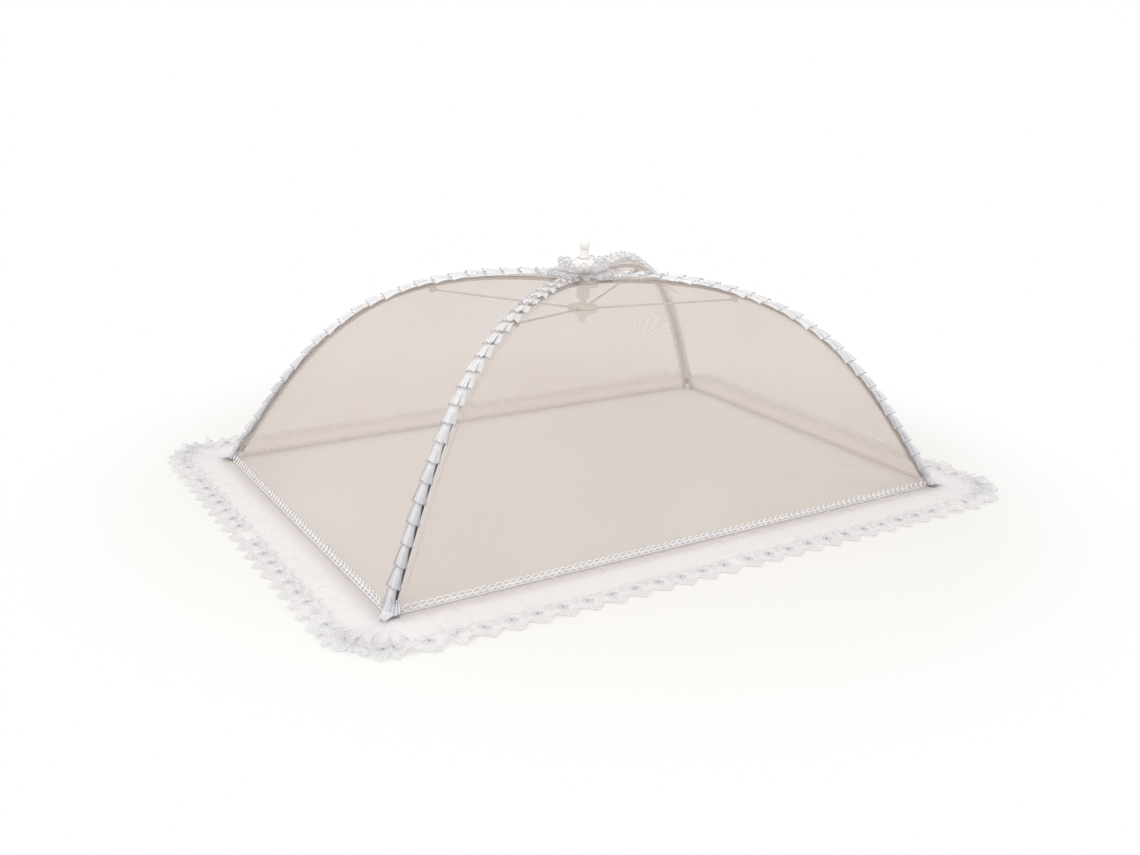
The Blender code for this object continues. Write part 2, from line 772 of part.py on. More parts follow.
def centre_post(pivot):
    """The post that hangs from the hub and snaps through the runner with its thicker tip."""
    hub_bottom = PIVOT_HEIGHT - DISC_DEPTH - HUB_BOSS_LENGTH
    top = hub_bottom + POST_SOCKET_DEPTH - SEAT_GAP
    shoulder = RUNNER_HEIGHT - DISC_DEPTH - RUNNER_BOSS_LENGTH - POST_PASS
    swell = POST_TIP_RADIUS - POST_RADIUS
    outline = [
        (0, top),
        (POST_RADIUS, top),
        (POST_RADIUS, shoulder),
        (POST_TIP_RADIUS, shoulder - swell),
        (POST_TIP_RADIUS, shoulder - POST_TIP_LENGTH / 2),
        (POST_RADIUS / 2, shoulder - POST_TIP_LENGTH),
        (0, shoulder - POST_TIP_LENGTH),
    ]
    body = turned(outline, TURNED_SEGMENTS)
    finished_object("centre_post", body, "white_plastic", pivot, smooth=True)


def crown_ruffle(pivot):
    """A ring of gathered lace round the cap's boss, rising and falling in waves."""
    steps = 4 * RUFFLE_WAVES
    start = CAP_BOSS_RADIUS + SEAT_GAP
    sheet = bmesh.new()
    line = [
        sheet.verts.new((start + (RUFFLE_RADIUS - start) * row / RUFFLE_ROWS, 0, 0))
        for row in range(RUFFLE_ROWS + 1)
    ]
    edges = [sheet.edges.new((a, b)) for a, b in zip(line, line[1:])]
    bmesh.ops.spin(
        sheet,
        geom=line + edges,
        cent=(0, 0, 0),
        axis=(0, 0, 1),
        angle=math.tau,
        steps=steps,
        use_merge=True,
    )
    result = bmesh.ops.extrude_face_region(sheet, geom=sheet.faces[:], use_keep_orig=True)
    raised = {part for part in result["geom"] if isinstance(part, bmesh.types.BMVert)}
    for vert in sheet.verts:
        out = (vert.co.xy.length - start) / (RUFFLE_RADIUS - start)
        turn = math.atan2(vert.co.y, vert.co.x)
        wave = RUFFLE_WAVE * out * math.cos(RUFFLE_WAVES * turn)
        thickness = RUFFLE_THICKNESS if vert in raised else 0
        vert.co.z = HUB_TOP + RUFFLE_RISE + wave + thickness
    finished_object("crown_ruffle", sheet, "lace", pivot)


def dome_cap(pivot):
    """The domed cap, whose boss comes down through the ruffle and the net to the hub."""
    base = HUB_TOP + CAP_UNDERSIDE_RISE
    bore_radius = KNOB_STEM_RADIUS + SEAT_GAP
    neck = KNOB_NECK_RADIUS + SEAT_GAP
    arc = 5
    dome = []
    for step in range(arc + 1):
        turn = math.pi / 2 * step / arc
        radius = neck + (CAP_RADIUS - neck) * math.cos(turn)
        dome.append((radius, base + CAP_RIM + (CAP_HEIGHT - CAP_RIM) * math.sin(turn)))
    outline = [
        (bore_radius, HUB_TOP + SEAT_GAP),
        (CAP_BOSS_RADIUS, HUB_TOP + SEAT_GAP),
        (CAP_BOSS_RADIUS, base),
        (CAP_RADIUS, base),
        *dome,
        (bore_radius, base + CAP_HEIGHT),
    ]
    finished_object("dome_cap", turned(outline, TURNED_SEGMENTS), "white_plastic", pivot, smooth=True)


def knob(pivot):
    """The lifting knob, with the stem that runs down through the cap into the hub."""
    seat = HUB_TOP + CAP_UNDERSIDE_RISE + CAP_HEIGHT + SEAT_GAP
    shoulder = seat + KNOB_NECK_HEIGHT
    stem_end = HUB_TOP - STEM_SOCKET_DEPTH
    half = KNOB_HEAD_HEIGHT / 2
    arc = 6
    head = []
    for step in range(1, arc + 1):
        turn = math.pi * (step / arc - 0.5)
        head.append((KNOB_HEAD_RADIUS * math.cos(turn), shoulder + half + half * math.sin(turn)))
    outline = [
        (0, stem_end),
        (KNOB_STEM_RADIUS, stem_end),
        (KNOB_STEM_RADIUS, seat),
        (KNOB_NECK_RADIUS, seat),
        (KNOB_WAIST_RADIUS, shoulder),
        *head[:-1],
        (0, shoulder + KNOB_HEAD_HEIGHT),
    ]
    finished_object("knob", turned(outline, TURNED_SEGMENTS), "white_plastic", pivot, smooth=True)


def build():
    clear_scene()
    corners = [Corner(*row) for row in CORNERS]
    crown = pivot_empty("crown", Vector((0, 0, PIVOT_HEIGHT)))

    hub(crown)
    disc_ring("hub_ring", PIVOT_HEIGHT, crown)
    centre_post(crown)
    crown_ruffle(crown)
    dome_cap(crown)
    knob(crown)

    runner_carrier = None
    for corner in corners:
        fold = pivot_empty("fold_axis_" + corner.name, corner.hub_pivot, crown)
        rib(corner, fold)
        rib_tip(corner, fold)
        stretcher_clip(corner, fold)
        rib_trim(corner, fold)
        corner_gather(corner, fold)
        for side in (0, 1):
            net_half(corner, side, fold)
            hem_braid_half(corner, side, fold)
            lace_half(corner, side, fold)
        swing = pivot_empty("stretcher_axis_" + corner.name, corner.clip_pivot, fold)
        stretcher(corner, swing)
        if runner_carrier is None:
            runner_carrier = pivot_empty("runner_axis", corner.runner_pivot, swing)

    runner(runner_carrier)
    disc_ring("runner_ring", RUNNER_HEIGHT, runner_carrier)
    bpy.context.view_layer.update()


build()
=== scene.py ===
"""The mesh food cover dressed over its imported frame: net, trims, braid, lace, ruffle and knob.

Metres, +Z up. Every piece over a corner is laid out in the quadrant +X +Y and mirrored to its own
corner. Cloth is drawn flat, as it is cut, and then laid over the ribs or on the table.
"""

import math

import bmesh
import bpy
from mathutils import Matrix, Vector


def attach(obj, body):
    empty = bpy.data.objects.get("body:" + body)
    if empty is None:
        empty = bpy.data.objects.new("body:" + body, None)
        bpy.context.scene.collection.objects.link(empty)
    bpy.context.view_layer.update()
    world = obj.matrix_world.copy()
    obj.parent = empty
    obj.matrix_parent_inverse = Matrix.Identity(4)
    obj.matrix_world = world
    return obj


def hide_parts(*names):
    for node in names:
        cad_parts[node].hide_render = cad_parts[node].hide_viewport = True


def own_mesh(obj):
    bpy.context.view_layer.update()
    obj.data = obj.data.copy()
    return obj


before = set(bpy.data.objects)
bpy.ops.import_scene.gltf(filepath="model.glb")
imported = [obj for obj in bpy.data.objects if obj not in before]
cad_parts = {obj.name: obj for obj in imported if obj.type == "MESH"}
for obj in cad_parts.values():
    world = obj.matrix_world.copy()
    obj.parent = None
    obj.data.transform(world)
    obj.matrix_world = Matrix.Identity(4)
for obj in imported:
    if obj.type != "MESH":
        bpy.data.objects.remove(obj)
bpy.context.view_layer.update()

# The frame's own sizes, as the solids have them
BASE_LENGTH = 0.600
BASE_WIDTH = 0.410
PIVOT_HEIGHT = 0.200
RING_RADIUS = 0.012
RIB_WIRE_RADIUS = 0.0015
RIB_END_HEIGHT = 0.003
RIB_CORNER_INSET = 0.0055
RIB_CURVE_SHARES = ((0.615, 1.08), (0.772, 0.645))
RIB_SPANS = 25
SEAT_GAP = 0.0003
TIP_CAP_RADIUS = 0.0027
HUB_TOP = 0.202

# The net's lie over the ribs
NET_THICKNESS = 0.0008
NET_DRAWN_IN_SHARE = 0.30
NET_SPREAD_SPANS = 8
NET_DRAWN_IN_POWER = 1.5
NET_HEM_HEIGHT = 0.0008
CROWN_LIFT = 0.0006
NARROWEST_SHARE = 0.10
NET_COLUMNS = 56
NET_COLUMN_POWER = 1.5
NET_ROWS = 120
HEM_TURN_OUT = 0.0200
HEM_ROWS = 4
SEAM_INSET = 0.0078
SEAM_THREAD = 0.00022
CREASES = (
    # angle up from the hem, length and height
    (0.30, 0.240, 0.0020),
    (0.52, 0.170, 0.0012),
    (0.95, 0.130, 0.0010),
)
STRONG_CREASES = "front_right"
WEAKER_SHARE = 0.5
CREASE_SPREAD = 0.0034
CASING_RADIUS = 0.0019
CASING_TURN = 2.7
CASING_COLUMNS = 12
BARE_CORNER = "front_left"
BARE_FROM = 12
OPEN_WIDTH = 0.0047
OPEN_EDGE = 0.001

# The trims along the ribs
TRIM_TOP_WIDTH = 0.0055
TRIM_FOOT_WIDTH = 0.0089
TRIM_OVERLAP = 0.14
TRIM_SIDE_DROP = 0.07
TRIM_SEAT = 0.0006
TRIM_LIFT = 0.0034
TRIM_PLEAT = 0.0009
TRIM_DRIFT = 0.0045
TRIM_COLUMNS = 28
TRIM_ROWS = 5
SLIT_COLUMN = 7
FOLD_SHARES = (-5 / 7, -2 / 7, 0, 2 / 7, 5 / 7)
BOLD_FROM = 15
# Painted shade on the trims: the organza darkens toward each foot, most at the sides of the scales
PAINTED_SHADE_FROM = 14.0
PAINTED_SHADE_RUN = 7.0
PAINTED_SHADE_MOST = 0.75

# Each kind of thread has a radius, the number of its finish in the piece, and whether it closes on itself
TRIM_THREADS = {
    "lower edge": (0.00026, 1, False),
    "bold side": (0.00030, 1, False),
    "faint side": (0.00032, 0, False),
    "fold": (0.00016, 0, False),
}
LACE_THREADS = {
    "edge": (0.00024, 0, False),
    "inner edge": (0.00014, 1, False),
    "leaf": (0.00023, 0, True),
    "circle": (0.00014, 1, True),
    "scroll": (0.00026, 0, False),
    "ring": (0.00025, 1, True),
    "dot": (0.00023, 2, False),
    "stem": (0.00022, 0, False),
    "stitch": (0.00034, 0, False),
}
TIE_THREADS = {
    "rim": (0.00026, 0, False),
    # dark threads down the ribbon's pleat valleys are painted shade
    "painted_valley_shade": (0.00024, 0, False),
}
RUFFLE_THREADS = {
    "rim": (0.00022, 2, True),
    "loop": (0.00022, 1, True),
    "arch": (0.00015, 2, False),
}

# The braid along the hem
BRAID_PITCH = 0.0066
BRAID_RING_MIDDLE = 0.0044
BRAID_RING_REACH = (0.0033, 0.0023)
BRAID_RING_TILT = 0.32
BRAID_RING_THREAD = 0.00058
BRAID_CORD = 0.00046
BRAID_RIM = 0.00022
BRAID_LIFT = 0.0006
TAPE_EDGES = (0.0022, 0.0040)

# The lace round the hem
LACE_REACH = (0.0675, 0.0630)
LACE_SCALLOPS = (13.0, 9.5)
LACE_SCALLOP_DEPTH = 0.0095
LACE_LOBE_DEPTH = 0.0016
LACE_CLOSE_WIDTH = 0.0235
LACE_STEPS = 22
LACE_ROWS = 12
LACE_LIFT = 0.0006
EYE_INSET = 0.0172
FLOUNCE_LENGTH = 0.118
GATHER_SCALLOPS = 8
GATHER_FOLD_HEIGHT = 0.0085
GATHER_FOLDS = (0.70, 1.05, 0.80, 1.15, 0.75, 0.95)

# The ribbon at each corner
TIE_PLEATS = 8
TIE_TURN = 0.70
TIE_INSET = 0.0035
TIE_ROWS = 5
TAB_START = 0.0040
TAB_LENGTH = 0.0100
TAB_HALF_WIDTH = 0.0050

# The crown
CAP_BOSS_RADIUS = 0.0060
CAP_RADIUS = 0.0130
CAP_UNDERSIDE_RISE = 0.0115
CAP_HEIGHT = 0.0095
CAP_RIM = 0.0016
CAP_FLAT_RADIUS = 0.0041
CAP_HOLE_RADIUS = 0.0023
KNOB_STEM_RADIUS = 0.0020
KNOB_STEM_DEPTH = 0.007
KNOB_NECK_HEIGHT = 0.0080
KNOB_HEAD_HEIGHT = 0.0100
KNOB_HEAD_RADIUS = 0.0051
RUFFLE_TIERS = (
    # petals, inner and outer radius, height at the boss and at the tips, first turn
    (17, 0.0064, 0.0360, 0.0062, 0.0080, 0.0),
    (13, 0.0066, 0.0260, 0.0068, 0.0176, 0.3),
)

# The cloth that stands up off one rib beside the crown
PUFFED_CORNER = "rear_right"
PUFF_RISE = 0.0065
PUFF_MIDDLE = 0.100
PUFF_HALF_LENGTH = 0.095
PUFF_WIDTH = 0.045

# How far the cloth would close up on its rib when the frame folds. Nothing yet makes it close up.
FOLD_LEANS = (0.34, 0.10)
FOLD_BOW = 0.030

# How much more light the net, and the lace, let through than they show
SHEER_LIGHT = 0.55
LACE_LIGHT = 0.80

# The table, the light and the camera
TABLE_SIZE = 6.0
TABLE_TONE = (0.875, 0.866, 0.848, 1)
TABLE_FADE = (0.37, 0.56)
SKY_TONE = (1.0, 0.995, 0.985, 1)
SKY_LIGHT = 0.96
LAMP_SIZE = 1.6
LAMP_WATTS = 10.0
LAMP_PLACE = Vector((-1.1, -0.9, 1.7))
LAMP_AIM = Vector((0, 0, 0.1))
LENS = 36.8
CAMERA_PLACE = Vector((-0.6144, -0.9535, 0.4166))
CAMERA_RIGHT = Vector((0.84914124, -0.52758751, 0.02470977))
CAMERA_UP = Vector((0.1428339, 0.27442594, 0.95094105))
CAMERA_AHEAD = Vector((0.50848562, 0.80395387, -0.30838376))

RIB_FOOT = Vector((BASE_LENGTH / 2 - RIB_CORNER_INSET, BASE_WIDTH / 2 - RIB_CORNER_INSET))
RIB_HEADING = RIB_FOOT.normalized()
OUTWARD = Vector((RIB_HEADING.x, RIB_HEADING.y, 0))
SIDEWAYS = Vector((-RIB_HEADING.y, RIB_HEADING.x, 0))

CORNERS = (
    ("left", "front", -1, -1),
    ("right", "front", 1, -1),
    ("right", "rear", 1, 1),
    ("left", "rear", -1, 1),
)


# How the ribs run, and the skins laid over them

FINE = 4


def rib_line():
    """Points along a rib's centreline, evenly spaced, with FINE of them to each span."""
    start = Vector((RING_RADIUS, PIVOT_HEIGHT))
    end = Vector((RIB_FOOT.length, RIB_END_HEIGHT))
    first, second = [
        Vector((RIB_FOOT.length * a, PIVOT_HEIGHT * b)) for a, b in RIB_CURVE_SHARES
    ]
    steps = 40 * RIB_SPANS
    curve = []
    for step in range(steps + 1):
        t = step / steps
        curve.append(
            (1 - t) ** 3 * start
            + 3 * (1 - t) ** 2 * t * first
            + 3 * (1 - t) * t**2 * second
            + t**3 * end
        )
    run = [0.0]
    for near, far in zip(curve, curve[1:]):
        run.append(run[-1] + (far - near).length)
    line = []
    low = 0
    for number in range(RIB_SPANS * FINE + 1):
        wanted = run[-1] * number / (RIB_SPANS * FINE)
        while low < steps - 1 and run[low + 1] < wanted:
            low += 1
        share = (wanted - run[low]) / (run[low + 1] - run[low])
        line.append(curve[low].lerp(curve[low + 1], share))
    return line, run[-1] / RIB_SPANS


def between(values, station):
    """A value at a station along the rib. Past the last one the last step runs straight on."""
    place = max(station, 0) * FINE
    low = min(int(place), len(values) - 2)
    return values[low].lerp(values[low + 1], place - low)


class Skin:
    """The surfaces over one rib in the quadrant +X +Y, at any height above the net's underside."""

    def __init__(self):
        line, self.span = rib_line()
        self.centre = [Vector((RIB_HEADING.x * r, RIB_HEADING.y * r, z)) for r, z in line]
        self.miter = []
        self.crossing = []
        last = len(line) - 1
        for number in range(len(line)):
            slope = line[min(number + 1, last)] - line[max(number - 1, 0)]
            along = Vector((RIB_HEADING.x * slope.x, RIB_HEADING.y * slope.x, slope.y)).normalized()
            off_long = Vector((0, -along.z, along.y)).normalized()
            off_short = Vector((-along.z, 0, along.x)).normalized()
            square = Matrix((off_long, off_short, along)).inverted()
            self.miter.append(square @ Vector((1, 1, 0)))
            self.crossing.append(Vector((math.sqrt(1 - along.x**2), math.sqrt(1 - along.y**2))))
        self.drawn_in = [self.pull(side) for side in (0, 1)]

    def level(self, station):
        plain = RIB_WIRE_RADIUS + SEAT_GAP
        crown = CROWN_LIFT * max(1 - station, 0)
        foot = (TIP_CAP_RADIUS - RIB_WIRE_RADIUS) * min(max(station - RIB_SPANS + 2, 0), 1)
        return plain + crown + foot

    def ridge(self, station, rise):
        """The point over the rib that stands rise above the net's underside."""
        lift = self.level(station) + rise
        return between(self.centre, station) + between(self.miter, station) * lift

    def pull(self, side):
        """How far the middle of the net is drawn in at each step, square to its chord."""
        other = 1 - side
        rows = [self.ridge(i / FINE, 0) for i in range(len(self.centre))]
        flat = [Vector((row[other], row.z)) for row in rows]
        chord = (flat[-1] - flat[0]).normalized()
        inward = []
        for number, point in enumerate(flat):
            sag = (point - flat[0]) - chord * chord.dot(point - flat[0])
            spread = min(number / FINE / NET_SPREAD_SPANS, 1)
            share = NET_DRAWN_IN_SHARE * spread**2 * (3 - 2 * spread)
            step = Vector((0, 0, -sag.y * share))
            step[other] = -sag.x * share
            inward.append(step)
        return inward

    def point(self, side, station, rise, across):
        """A point of side 0, the long one, or 1. across is 1 at the rib and 0 at mid-side."""
        place = self.ridge(station, rise)
        place[side] *= across
        drawn = between(self.drawn_in[side], station)
        return place + drawn * max(1 - across**2, 0) ** NET_DRAWN_IN_POWER

    def across_at(self, side, station, width):
        """The share of the way to the rib that leaves width between a point and the rib."""
        crossing = between(self.crossing, station)[side]
        return max(1 - width / (crossing * self.ridge(station, 0)[side]), NARROWEST_SHARE)

    def station_at(self, height, rise):
        """The station in the last span where the skin is at a height above the table."""
        high = self.ridge(RIB_SPANS - 1, rise).z
        low = self.ridge(RIB_SPANS, rise).z
        return RIB_SPANS - 1 + (high - height) / (high - low)


SKIN = Skin()
HEM = SKIN.ridge(SKIN.station_at(NET_HEM_HEIGHT, NET_THICKNESS), NET_THICKNESS)
HEM_STATION = SKIN.station_at(NET_HEM_HEIGHT, NET_THICKNESS / 2)
HEM_RUN = HEM_STATION * SKIN.span


class Corner:
    """One corner's names, signs and rib."""

    def __init__(self, x_name, y_name, x_sign, y_sign):
        self.x_name = x_name
        self.y_name = y_name
        self.name = y_name + "_" + x_name
        self.signs = Vector((x_sign, y_sign, 1))
        self.body = self.name + "_rib"

    def side_names(self, side):
        """The side that a half belongs to, and the end of the side that it is at."""
        return (self.y_name, self.x_name) if side == 0 else (self.x_name, self.y_name)

    def mirrored(self, place):
        return Vector((place.x * self.signs.x, place.y * self.signs.y, place.z))

    def clothed(self, place):
        """Mirrored, and puffed up off the rib where the cloth of that corner stands up by the crown."""
        if self.name == PUFFED_CORNER:
            along = place.x * RIB_HEADING.x + place.y * RIB_HEADING.y
            off = place.x * RIB_HEADING.y - place.y * RIB_HEADING.x
            swell = max(1 - ((along - PUFF_MIDDLE) / PUFF_HALF_LENGTH) ** 2, 0) ** 2
            place = place + Vector((0, 0, PUFF_RISE * swell * math.exp(-((off / PUFF_WIDTH) ** 2))))
        return self.mirrored(place)


# Node groups that the materials share


def new_group(name, inputs, outputs):
    """A node group, and what it is given and gives. An input has its kind and its first value."""
    group = bpy.data.node_groups.new(name, "ShaderNodeTree")
    for label, kind, value in inputs:
        socket = group.interface.new_socket(label, in_out="INPUT", socket_type="NodeSocket" + kind)
        if value is not None:
            socket.default_value = value
    for label, kind in outputs:
        group.interface.new_socket(label, in_out="OUTPUT", socket_type="NodeSocket" + kind)
    return group, group.nodes.new("NodeGroupInput").outputs, group.nodes.new("NodeGroupOutput").inputs


def added(tree, kind, takes, **settings):
    """A new node. takes has its inputs by name or number, each with a socket or a plain value."""
    node = tree.nodes.new("ShaderNode" + kind)
    for label, value in settings.items():
        setattr(node, label, value)
    for label, value in takes.items():
        if isinstance(value, bpy.types.NodeSocket):
            tree.links.new(value, node.inputs[label])
        else:
            node.inputs[label].default_value = value
    return node


def math_node(tree, operation, *values, clamp=False):
    """What a Math node gives for sockets or numbers."""
    return added(tree, "Math", dict(enumerate(values)), operation=operation, use_clamp=clamp).outputs[0]


def tinted(tree, share, colour, other):
    """A colour that turns to another one as share goes from 0 to 1."""
    takes = {"Factor": share, "A": colour, "B": other}
    return added(tree, "Mix", takes, data_type="RGBA").outputs["Result"]


def woven_threads():
    """A plain weave on a flat vector in metres: how much thread covers each spot, and its height."""
    group, given, gives = new_group(
        "Woven threads",
        [
            ("Vector", "Vector", None),
            ("Threads per metre", "Float", 1000.0),
            ("Thread share", "Float", 0.4),
            ("Softness", "Float", 0.12),
        ],
        [("Cover", "Float"), ("Height", "Float")],
    )
    takes = {0: given["Vector"], "Scale": given["Threads per metre"]}
    scaled = added(group, "VectorMath", takes, operation="SCALE").outputs[0]
    split = added(group, "SeparateXYZ", {0: scaled})
    half = math_node(group, "MULTIPLY", given["Thread share"], 0.5)
    rounds = []
    for axis in ("X", "Y"):
        place = math_node(group, "FRACT", split.outputs[axis])
        off = math_node(group, "ABSOLUTE", math_node(group, "SUBTRACT", place, 0.5))
        inside = math_node(group, "SUBTRACT", half, off)
        rounds.append(math_node(group, "DIVIDE", inside, given["Softness"], clamp=True))
    group.links.new(math_node(group, "MAXIMUM", *rounds), gives["Cover"])
    group.links.new(math_node(group, "ADD", *rounds), gives["Height"])
    return group


def tulle_net():
    """Six-sided tulle holes on a flat vector in metres: how much thread covers each spot."""
    group, given, gives = new_group(
        "Tulle net",
        [("Vector", "Vector", None), ("Holes per metre", "Float", 700.0), ("Thread share", "Float", 0.2)],
        [("Cover", "Float")],
    )
    takes = {"Vector": given["Vector"], "Scale": given["Holes per metre"], "Randomness": 0.35}
    cells = added(group, "TexVoronoi", takes, voronoi_dimensions="2D", feature="DISTANCE_TO_EDGE")
    inside = math_node(group, "SUBTRACT", given["Thread share"], cells.outputs["Distance"])
    group.links.new(math_node(group, "DIVIDE", inside, 0.08, clamp=True), gives["Cover"])
    return group


def cloud():
    """Slow changes of shade over a piece, between two colours."""
    group, given, gives = new_group(
        "Cloud",
        [
            ("Vector", "Vector", None),
            ("Scale", "Float", 8.0),
            ("Light", "Color", None),
            ("Deep", "Color", None),
        ],
        [("Color", "Color")],
    )
    noise = added(group, "TexNoise", {"Vector": given["Vector"], "Scale": given["Scale"], "Detail": 3.0})
    contrast = math_node(group, "MULTIPLY_ADD", noise.outputs["Fac"], 2.4, -0.7, clamp=True)
    group.links.new(tinted(group, contrast, given["Deep"], given["Light"]), gives["Color"])
    return group


WOVEN = woven_threads()
TULLE = tulle_net()
CLOUD = cloud()


# The finishes


def finish(name, roughness, metallic=0.0, **constants):
    """A material with its shader, and constants on the shader's own sockets."""
    material = bpy.data.materials.new(name)
    material.use_nodes = True
    shader = material.node_tree.nodes["Principled BSDF"]
    shader.inputs["Roughness"].default_value = roughness
    shader.inputs["Metallic"].default_value = metallic
    for label, value in constants.items():
        shader.inputs[label.replace("_", " ").title().replace("Ior", "IOR")].default_value = value
    return material, material.node_tree, shader


def placed(tree, group, **values):
    """A node group in a material, with its own values."""
    takes = {label.replace("_", " ").capitalize(): value for label, value in values.items()}
    return added(tree, "Group", takes, node_tree=group)


def object_place(tree):
    return tree.nodes.new("ShaderNodeTexCoord").outputs["Object"]


def cut_place(tree):
    """Where a spot was on the flat cloth, in metres, from the piece's own map."""
    return added(tree, "UVMap", {}, uv_map="cut").outputs["UV"]


def marked(tree, name):
    """How strongly a spot is marked, by one of the piece's own attributes."""
    return added(tree, "Attribute", {}, attribute_name=name).outputs["Fac"]


def shaded(tree, shader, light, deep, scale):
    """The base colour, in soft clouds between a light and a deep shade."""
    node = placed(tree, CLOUD, vector=object_place(tree), scale=scale, light=(*light, 1), deep=(*deep, 1))
    tree.links.new(node.outputs["Color"], shader.inputs["Base Color"])
    return node.outputs["Color"]


def bumped(tree, shader, height, strength, distance):
    bump = added(tree, "Bump", {"Height": height, "Strength": strength, "Distance": distance})
    tree.links.new(bump.outputs["Normal"], shader.inputs["Normal"])


def lifted(tree, value, low, high, start=0.0, end=1.0, kind="LINEAR"):
    """A value that runs from start to end, spread between two numbers."""
    takes = {"Value": value, "From Min": start, "From Max": end, "To Min": low, "To Max": high}
    return added(tree, "MapRange", takes, interpolation_type=kind).outputs["Result"]


def mixed(tree, share, first, second, shown_by="Material Output"):
    """Shows two shaders together, with a share of the second."""
    both = added(tree, "MixShader", {0: share, 1: first.outputs[0], 2: second.outputs[0]})
    tree.links.new(both.outputs[0], tree.nodes[shown_by].inputs["Surface"])


def sheer(tree, shader, cover, low, high, light=SHEER_LIGHT):
    """Alpha from how much thread there is. Thin thread lets light through to what lies under it."""
    path = tree.nodes.new("ShaderNodeLightPath")
    lit = math_node(tree, "MULTIPLY_ADD", path.outputs["Is Shadow Ray"], -light, 1.0)
    alpha = math_node(tree, "MULTIPLY", lifted(tree, cover, low, high), lit)
    tree.links.new(alpha, shader.inputs["Alpha"])


def glowing_through(tree, shader, colour, share):
    """Part of the cloth takes its light from behind, as thin white cloth does."""
    mixed(tree, share, shader, added(tree, "BsdfTranslucent", {"Color": (*colour, 1)}))


def net_cloth():
    """Fine mesh, closer beside its creases, where the extra cover is partly doubled cloth and partly
    painted shade. It fades under the lace and where it has come away.
    """
    material, tree, shader = finish("Net mesh", 0.85, sheen_weight=0.2)
    shaded(tree, shader, (0.680, 0.590, 0.536), (0.636, 0.542, 0.489), 9.0)
    weave = placed(tree, WOVEN, vector=cut_place(tree), threads_per_metre=1150.0, thread_share=0.42)
    cover = math_node(tree, "MULTIPLY_ADD", weave.outputs["Cover"], 0.88, 0.12)
    # Closer net beside the creases: partly doubled cloth, partly painted shade
    cover = math_node(tree, "MULTIPLY_ADD", marked(tree, "crease_doubling_and_shade"), 0.09, cover)
    run = added(tree, "SeparateXYZ", {0: cut_place(tree)}).outputs["Y"]
    start = HEM_RUN - HEM_TURN_OUT * 0.15
    under = lifted(tree, run, 1.0, 0.0, start, HEM_RUN + HEM_TURN_OUT, "SMOOTHSTEP")
    for share in (under, math_node(tree, "SUBTRACT", 1.0, marked(tree, "opened"))):
        cover = math_node(tree, "MULTIPLY", cover, share)
    sheer(tree, shader, cover, 0.0, 0.81)
    bumped(tree, shader, weave.outputs["Height"], 0.12, 0.0002)
    return material


def lace_tulle(name, light, deep, low, high):
    """Six-sided tulle that shows from low to high of itself."""
    material, tree, shader = finish(name, 0.80, sheen_weight=0.2)
    shaded(tree, shader, light, deep, 22.0)
    net = placed(tree, TULLE, vector=cut_place(tree), holes_per_metre=850.0, thread_share=0.13)
    sheer(tree, shader, net.outputs["Cover"], low, high, LACE_LIGHT)
    bumped(tree, shader, net.outputs["Cover"], 0.08, 0.0002)
    glowing_through(tree, shader, light, 0.42)
    return material


def organza():
    """Sheer stiff cloth with a silky gleam, woven finer than the net."""
    material, tree, shader = finish("Trim organza", 0.42, specular_ior_level=0.5)
    white = shaded(tree, shader, (0.985, 0.985, 0.99), (0.93, 0.935, 0.955), 60.0)
    # Painted shade: toward each trim's foot the organza turns a dark lavender-grey
    colour = tinted(tree, marked(tree, "painted_foot_shade"), white, (0.34, 0.34, 0.41, 1))
    tree.links.new(colour, shader.inputs["Base Color"])
    size = {"threads_per_metre": 1700.0, "thread_share": 0.5, "softness": 0.2}
    weave = placed(tree, WOVEN, vector=cut_place(tree), **size)
    sheer(tree, shader, weave.outputs["Cover"], 0.70, 0.98)
    bumped(tree, shader, weave.outputs["Height"], 0.08, 0.0002)
    glowing_through(tree, shader, (0.98, 0.98, 0.985), 0.18)
    return material


def stitched_cloth(name, light, deep, roughness, stitches):
    """Close satin stitches that cross the piece."""
    material, tree, shader = finish(name, roughness, sheen_weight=0.3)
    shaded(tree, shader, light, deep, 90.0)
    takes = {"Vector": object_place(tree), "Scale": stitches, "Distortion": 2.0}
    wave = added(tree, "TexWave", takes, bands_direction="DIAGONAL")
    bumped(tree, shader, wave.outputs["Fac"], 0.12, 0.0003)
    return material


def moulded_plastic(name, light, deep, share=0.0):
    """Moulded plastic. A share of its light can come through it, as in thin clear mouldings."""
    material, tree, shader = finish(name, 0.32, coat_weight=0.15)
    shaded(tree, shader, light, deep, 40.0)
    grain = added(tree, "TexNoise", {"Vector": object_place(tree), "Scale": 900.0})
    bumped(tree, shader, grain.outputs["Fac"], 0.08, 0.0004)
    if share:
        glowing_through(tree, shader, light, share)
    return material


def drawn_wire(name, light, deep, roughness, metallic):
    """Steel wire with fine drawing lines and a slightly uneven shine."""
    material, tree, shader = finish(name, roughness, metallic)
    shaded(tree, shader, light, deep, 30.0)
    takes = {"Vector": object_place(tree), "Scale": 500.0, "Detail": 4.0}
    lines = added(tree, "TexNoise", takes).outputs["Fac"]
    uneven = lifted(tree, lines, roughness - 0.12, roughness + 0.15)
    tree.links.new(uneven, shader.inputs["Roughness"])
    bumped(tree, shader, lines, 0.12, 0.0003)
    return material


